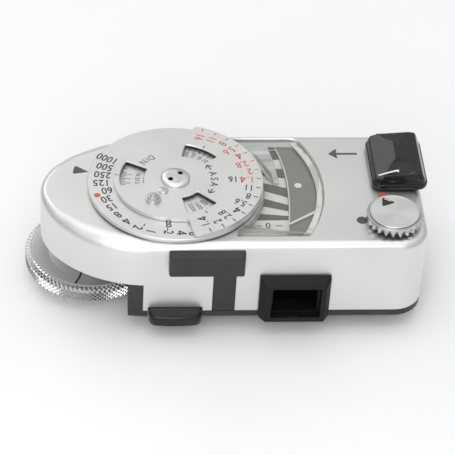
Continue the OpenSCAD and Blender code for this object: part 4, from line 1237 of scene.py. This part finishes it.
# The switch's block: a skirt, four sloping sides and a low ridge across the top.
def buildSwitch():
    low, high = boxOf["switch_slide"]
    block = {"skirt": 1.25, "shelf": 0.30, "ridge": low.x + 4.95, "corner": 1.9, "soft": 0.08,
             "leftSlope": 0.55, "rightSlope": 2.2, "frontSlope": 5.0, "backSlope": 3.4, "roofSlope": 0.2,
             "line": ((20.45, 0.15), (24.1, -0.6)), "lineWidth": 0.36}
    x0, x1, y0, y1 = low.x, high.x, low.y, high.y
    shoulder = low.z + block["skirt"] + 0.12
    shelf = block["shelf"]

    def heightAt(x, y):
        return softMin((
            shoulder + 0.55 + block["leftSlope"] * (x - x0 - shelf),
            shoulder + 2.4 * (x - x0 - shelf), shoulder + block["rightSlope"] * (x1 - shelf - x),
            shoulder + block["frontSlope"] * (y - y0 - shelf),
            shoulder + block["backSlope"] * (y1 - shelf - y),
            high.z + 0.12 - block["roofSlope"] * abs(x - block["ridge"])), block["soft"])

    rings = []
    skirtTop = low.z + block["skirt"]
    for z, inset in ((low.z, 0.3), (low.z + 0.25, 0.06), (low.z + 0.5, 0.0), (skirtTop - 0.25, 0.0),
                     (skirtTop - 0.08, 0.05), (skirtTop, 0.16), (skirtTop + 0.01, shelf - 0.1)):
        rings.append([(x, y, z) for x, y in roundedRect(x0 + inset, x1 - inset, y0 + inset, y1 - inset,
                                                        block["corner"] - inset * 0.5, 8)])
    inset = shelf + 0.02
    while inset < (x1 - x0) / 2 - 0.15:
        radius = max(0.12, block["corner"] - inset * 0.5)
        radius = min(radius, (x1 - x0) / 2 - inset - 0.02)
        outline = roundedRect(x0 + inset, x1 - inset, y0 + inset, y1 - inset, radius, 8)
        rings.append([(x, y, max(skirtTop, heightAt(x, y))) for x, y in outline])
        inset += 0.16
    makeMesh("switchBlock", *loftData(rings), "glossBlack", "switch", ["switch_slide"], "gloss_black", 50)
    (ax, ay), (bx, by) = block["line"]
    strip = []
    for t in range(9):
        x, y = ax + (bx - ax) * t / 8, ay + (by - ay) * t / 8
        half = block["lineWidth"] / 2
        before, after = heightAt(x, y - half), heightAt(x, y + half)
        strip.append([(x, y - half, before - 0.05), (x, y + half, after - 0.05), (x, y + half, after + 0.025),
                      (x, y - half, before + 0.025)])
    makeMesh("switchLine", *loftData(strip), "whiteInk", "switch")


def printCasing():
    top = caseTop
    markPlate("dialIndex", [roundOutline([(-34.2, 4.3), (-37.3, 3.7), (-36.8, 6.3)], [0.1, 0.45, 0.45])], top,
              "greyInk", "casing")
    head = roundOutline([(11.95, 9.75), (13.75, 8.2), (13.55, 9.5), (17.6, 9.5), (17.6, 10.05),
                         (13.55, 10.05), (13.7, 11.4)], [0.12, 0.2, 0.0, 0.15, 0.15, 0.0, 0.2])
    markPlate("switchArrow", [head], top, "greyInk", "casing")
    markPlate("rangeDot", [dot((16.48, -9.87), 1.03)], top, "greyInk", "casing")
    markPlate("rangeDot.red", [dot((21.3, -2.95), 1.05)], top, "redInk", "casing")


buildKnob()
buildSwitch()
printCasing()
print("knob and switch made")


# ---- floor, lights and camera

def buildStage():
    stage = {"floorSize": 3.0, "skyPower": 1.0,
             # brightness of the room by height: 0 at the horizon, 1 overhead
             "sky": ((0.0, 0.34), (0.2, 0.38), (0.45, 0.70), (0.7, 0.76), (1.0, 0.72))}
    bpy.ops.mesh.primitive_plane_add(size=stage["floorSize"], location=(0, 0, 0))
    floor = bpy.context.active_object
    floor.name = "floor"
    f = Finish("paleFloor")
    tone = f.mix(f.noise(30, 4.0), (0.86, 0.86, 0.86), (0.90, 0.90, 0.90))
    floor.data.materials.append(f.finish({"Base Color": tone, "Roughness": 0.6}))
    world = bpy.data.worlds.new("softRoom")
    bpy.context.scene.world = world
    world.use_nodes = True
    bpy.context.scene.view_settings.view_transform = "Standard"
    nodes, links = world.node_tree.nodes, world.node_tree.links
    place, parts, ramp = (nodes.new(kind) for kind in
                          ("ShaderNodeTexCoord", "ShaderNodeSeparateXYZ", "ShaderNodeValToRGB"))
    stops = stage["sky"]
    while len(ramp.color_ramp.elements) < len(stops):
        ramp.color_ramp.elements.new(0.5)
    for element, (position, level) in zip(ramp.color_ramp.elements, stops):
        element.position = position
        element.color = (level, level, level, 1)
    links.new(place.outputs["Generated"], parts.inputs[0])
    links.new(parts.outputs["Z"], ramp.inputs[0])
    links.new(ramp.outputs[0], nodes["Background"].inputs[0])
    nodes["Background"].inputs[1].default_value = stage["skyPower"]
    lights = {
        "overhead": {"at": (-0.05, -0.02, 0.70), "aim": (0, 0, 0.01), "size": 0.7, "power": 1.3},
        "front": {"at": (-0.15, -0.60, 0.40), "aim": (0, 0, 0.01), "size": 0.5, "power": 2.1},
        "back": {"at": (-0.30, 0.62, 0.50), "aim": (-0.03, 0, 0.02), "size": 0.35, "power": 0.6},
    }
    for name, values in lights.items():
        data = bpy.data.lights.new(name, "AREA")
        data.energy = values["power"]
        data.size = values["size"]
        lamp = bpy.data.objects.new(name, data)
        lamp.location = values["at"]
        aim = Vector(values["aim"]) - Vector(values["at"])
        lamp.rotation_euler = aim.to_track_quat("-Z", "Y").to_euler()
        bpy.context.scene.collection.objects.link(lamp)


# The camera looks down at the front, turned a little to the left and rolled slightly.
def buildCamera():
    view = {"turn": -5.951, "rise": 40.823, "roll": 3.76, "distance": 396.76, "focal": 2157.69,
            "target": (dialX + 9.067, dialY - 13.106, speedTop), "imageWidth": 455, "sensor": 36.0}
    turn, rise, roll = (math.radians(view[key]) for key in ("turn", "rise", "roll"))
    back = Vector((math.sin(turn) * math.cos(rise), -math.cos(turn) * math.cos(rise), math.sin(rise)))
    right = Vector((math.cos(turn), math.sin(turn), 0))
    up = back.cross(right)
    cameraX = math.cos(roll) * right + math.sin(roll) * up
    cameraY = -math.sin(roll) * right + math.cos(roll) * up
    data = bpy.data.cameras.new("camera")
    data.sensor_width = view["sensor"]
    data.lens = view["focal"] / view["imageWidth"] * view["sensor"]
    data.clip_start = 0.01
    camera = bpy.data.objects.new("camera", data)
    bpy.context.scene.collection.objects.link(camera)
    place = (Vector(view["target"]) + back * view["distance"]) * mm
    camera.matrix_world = Matrix((
        (cameraX.x, cameraY.x, back.x, place.x), (cameraX.y, cameraY.y, back.y, place.y),
        (cameraX.z, cameraY.z, back.z, place.z), (0, 0, 0, 1)))
    bpy.context.scene.camera = camera


buildStage()
buildCamera()
print("stage ready")
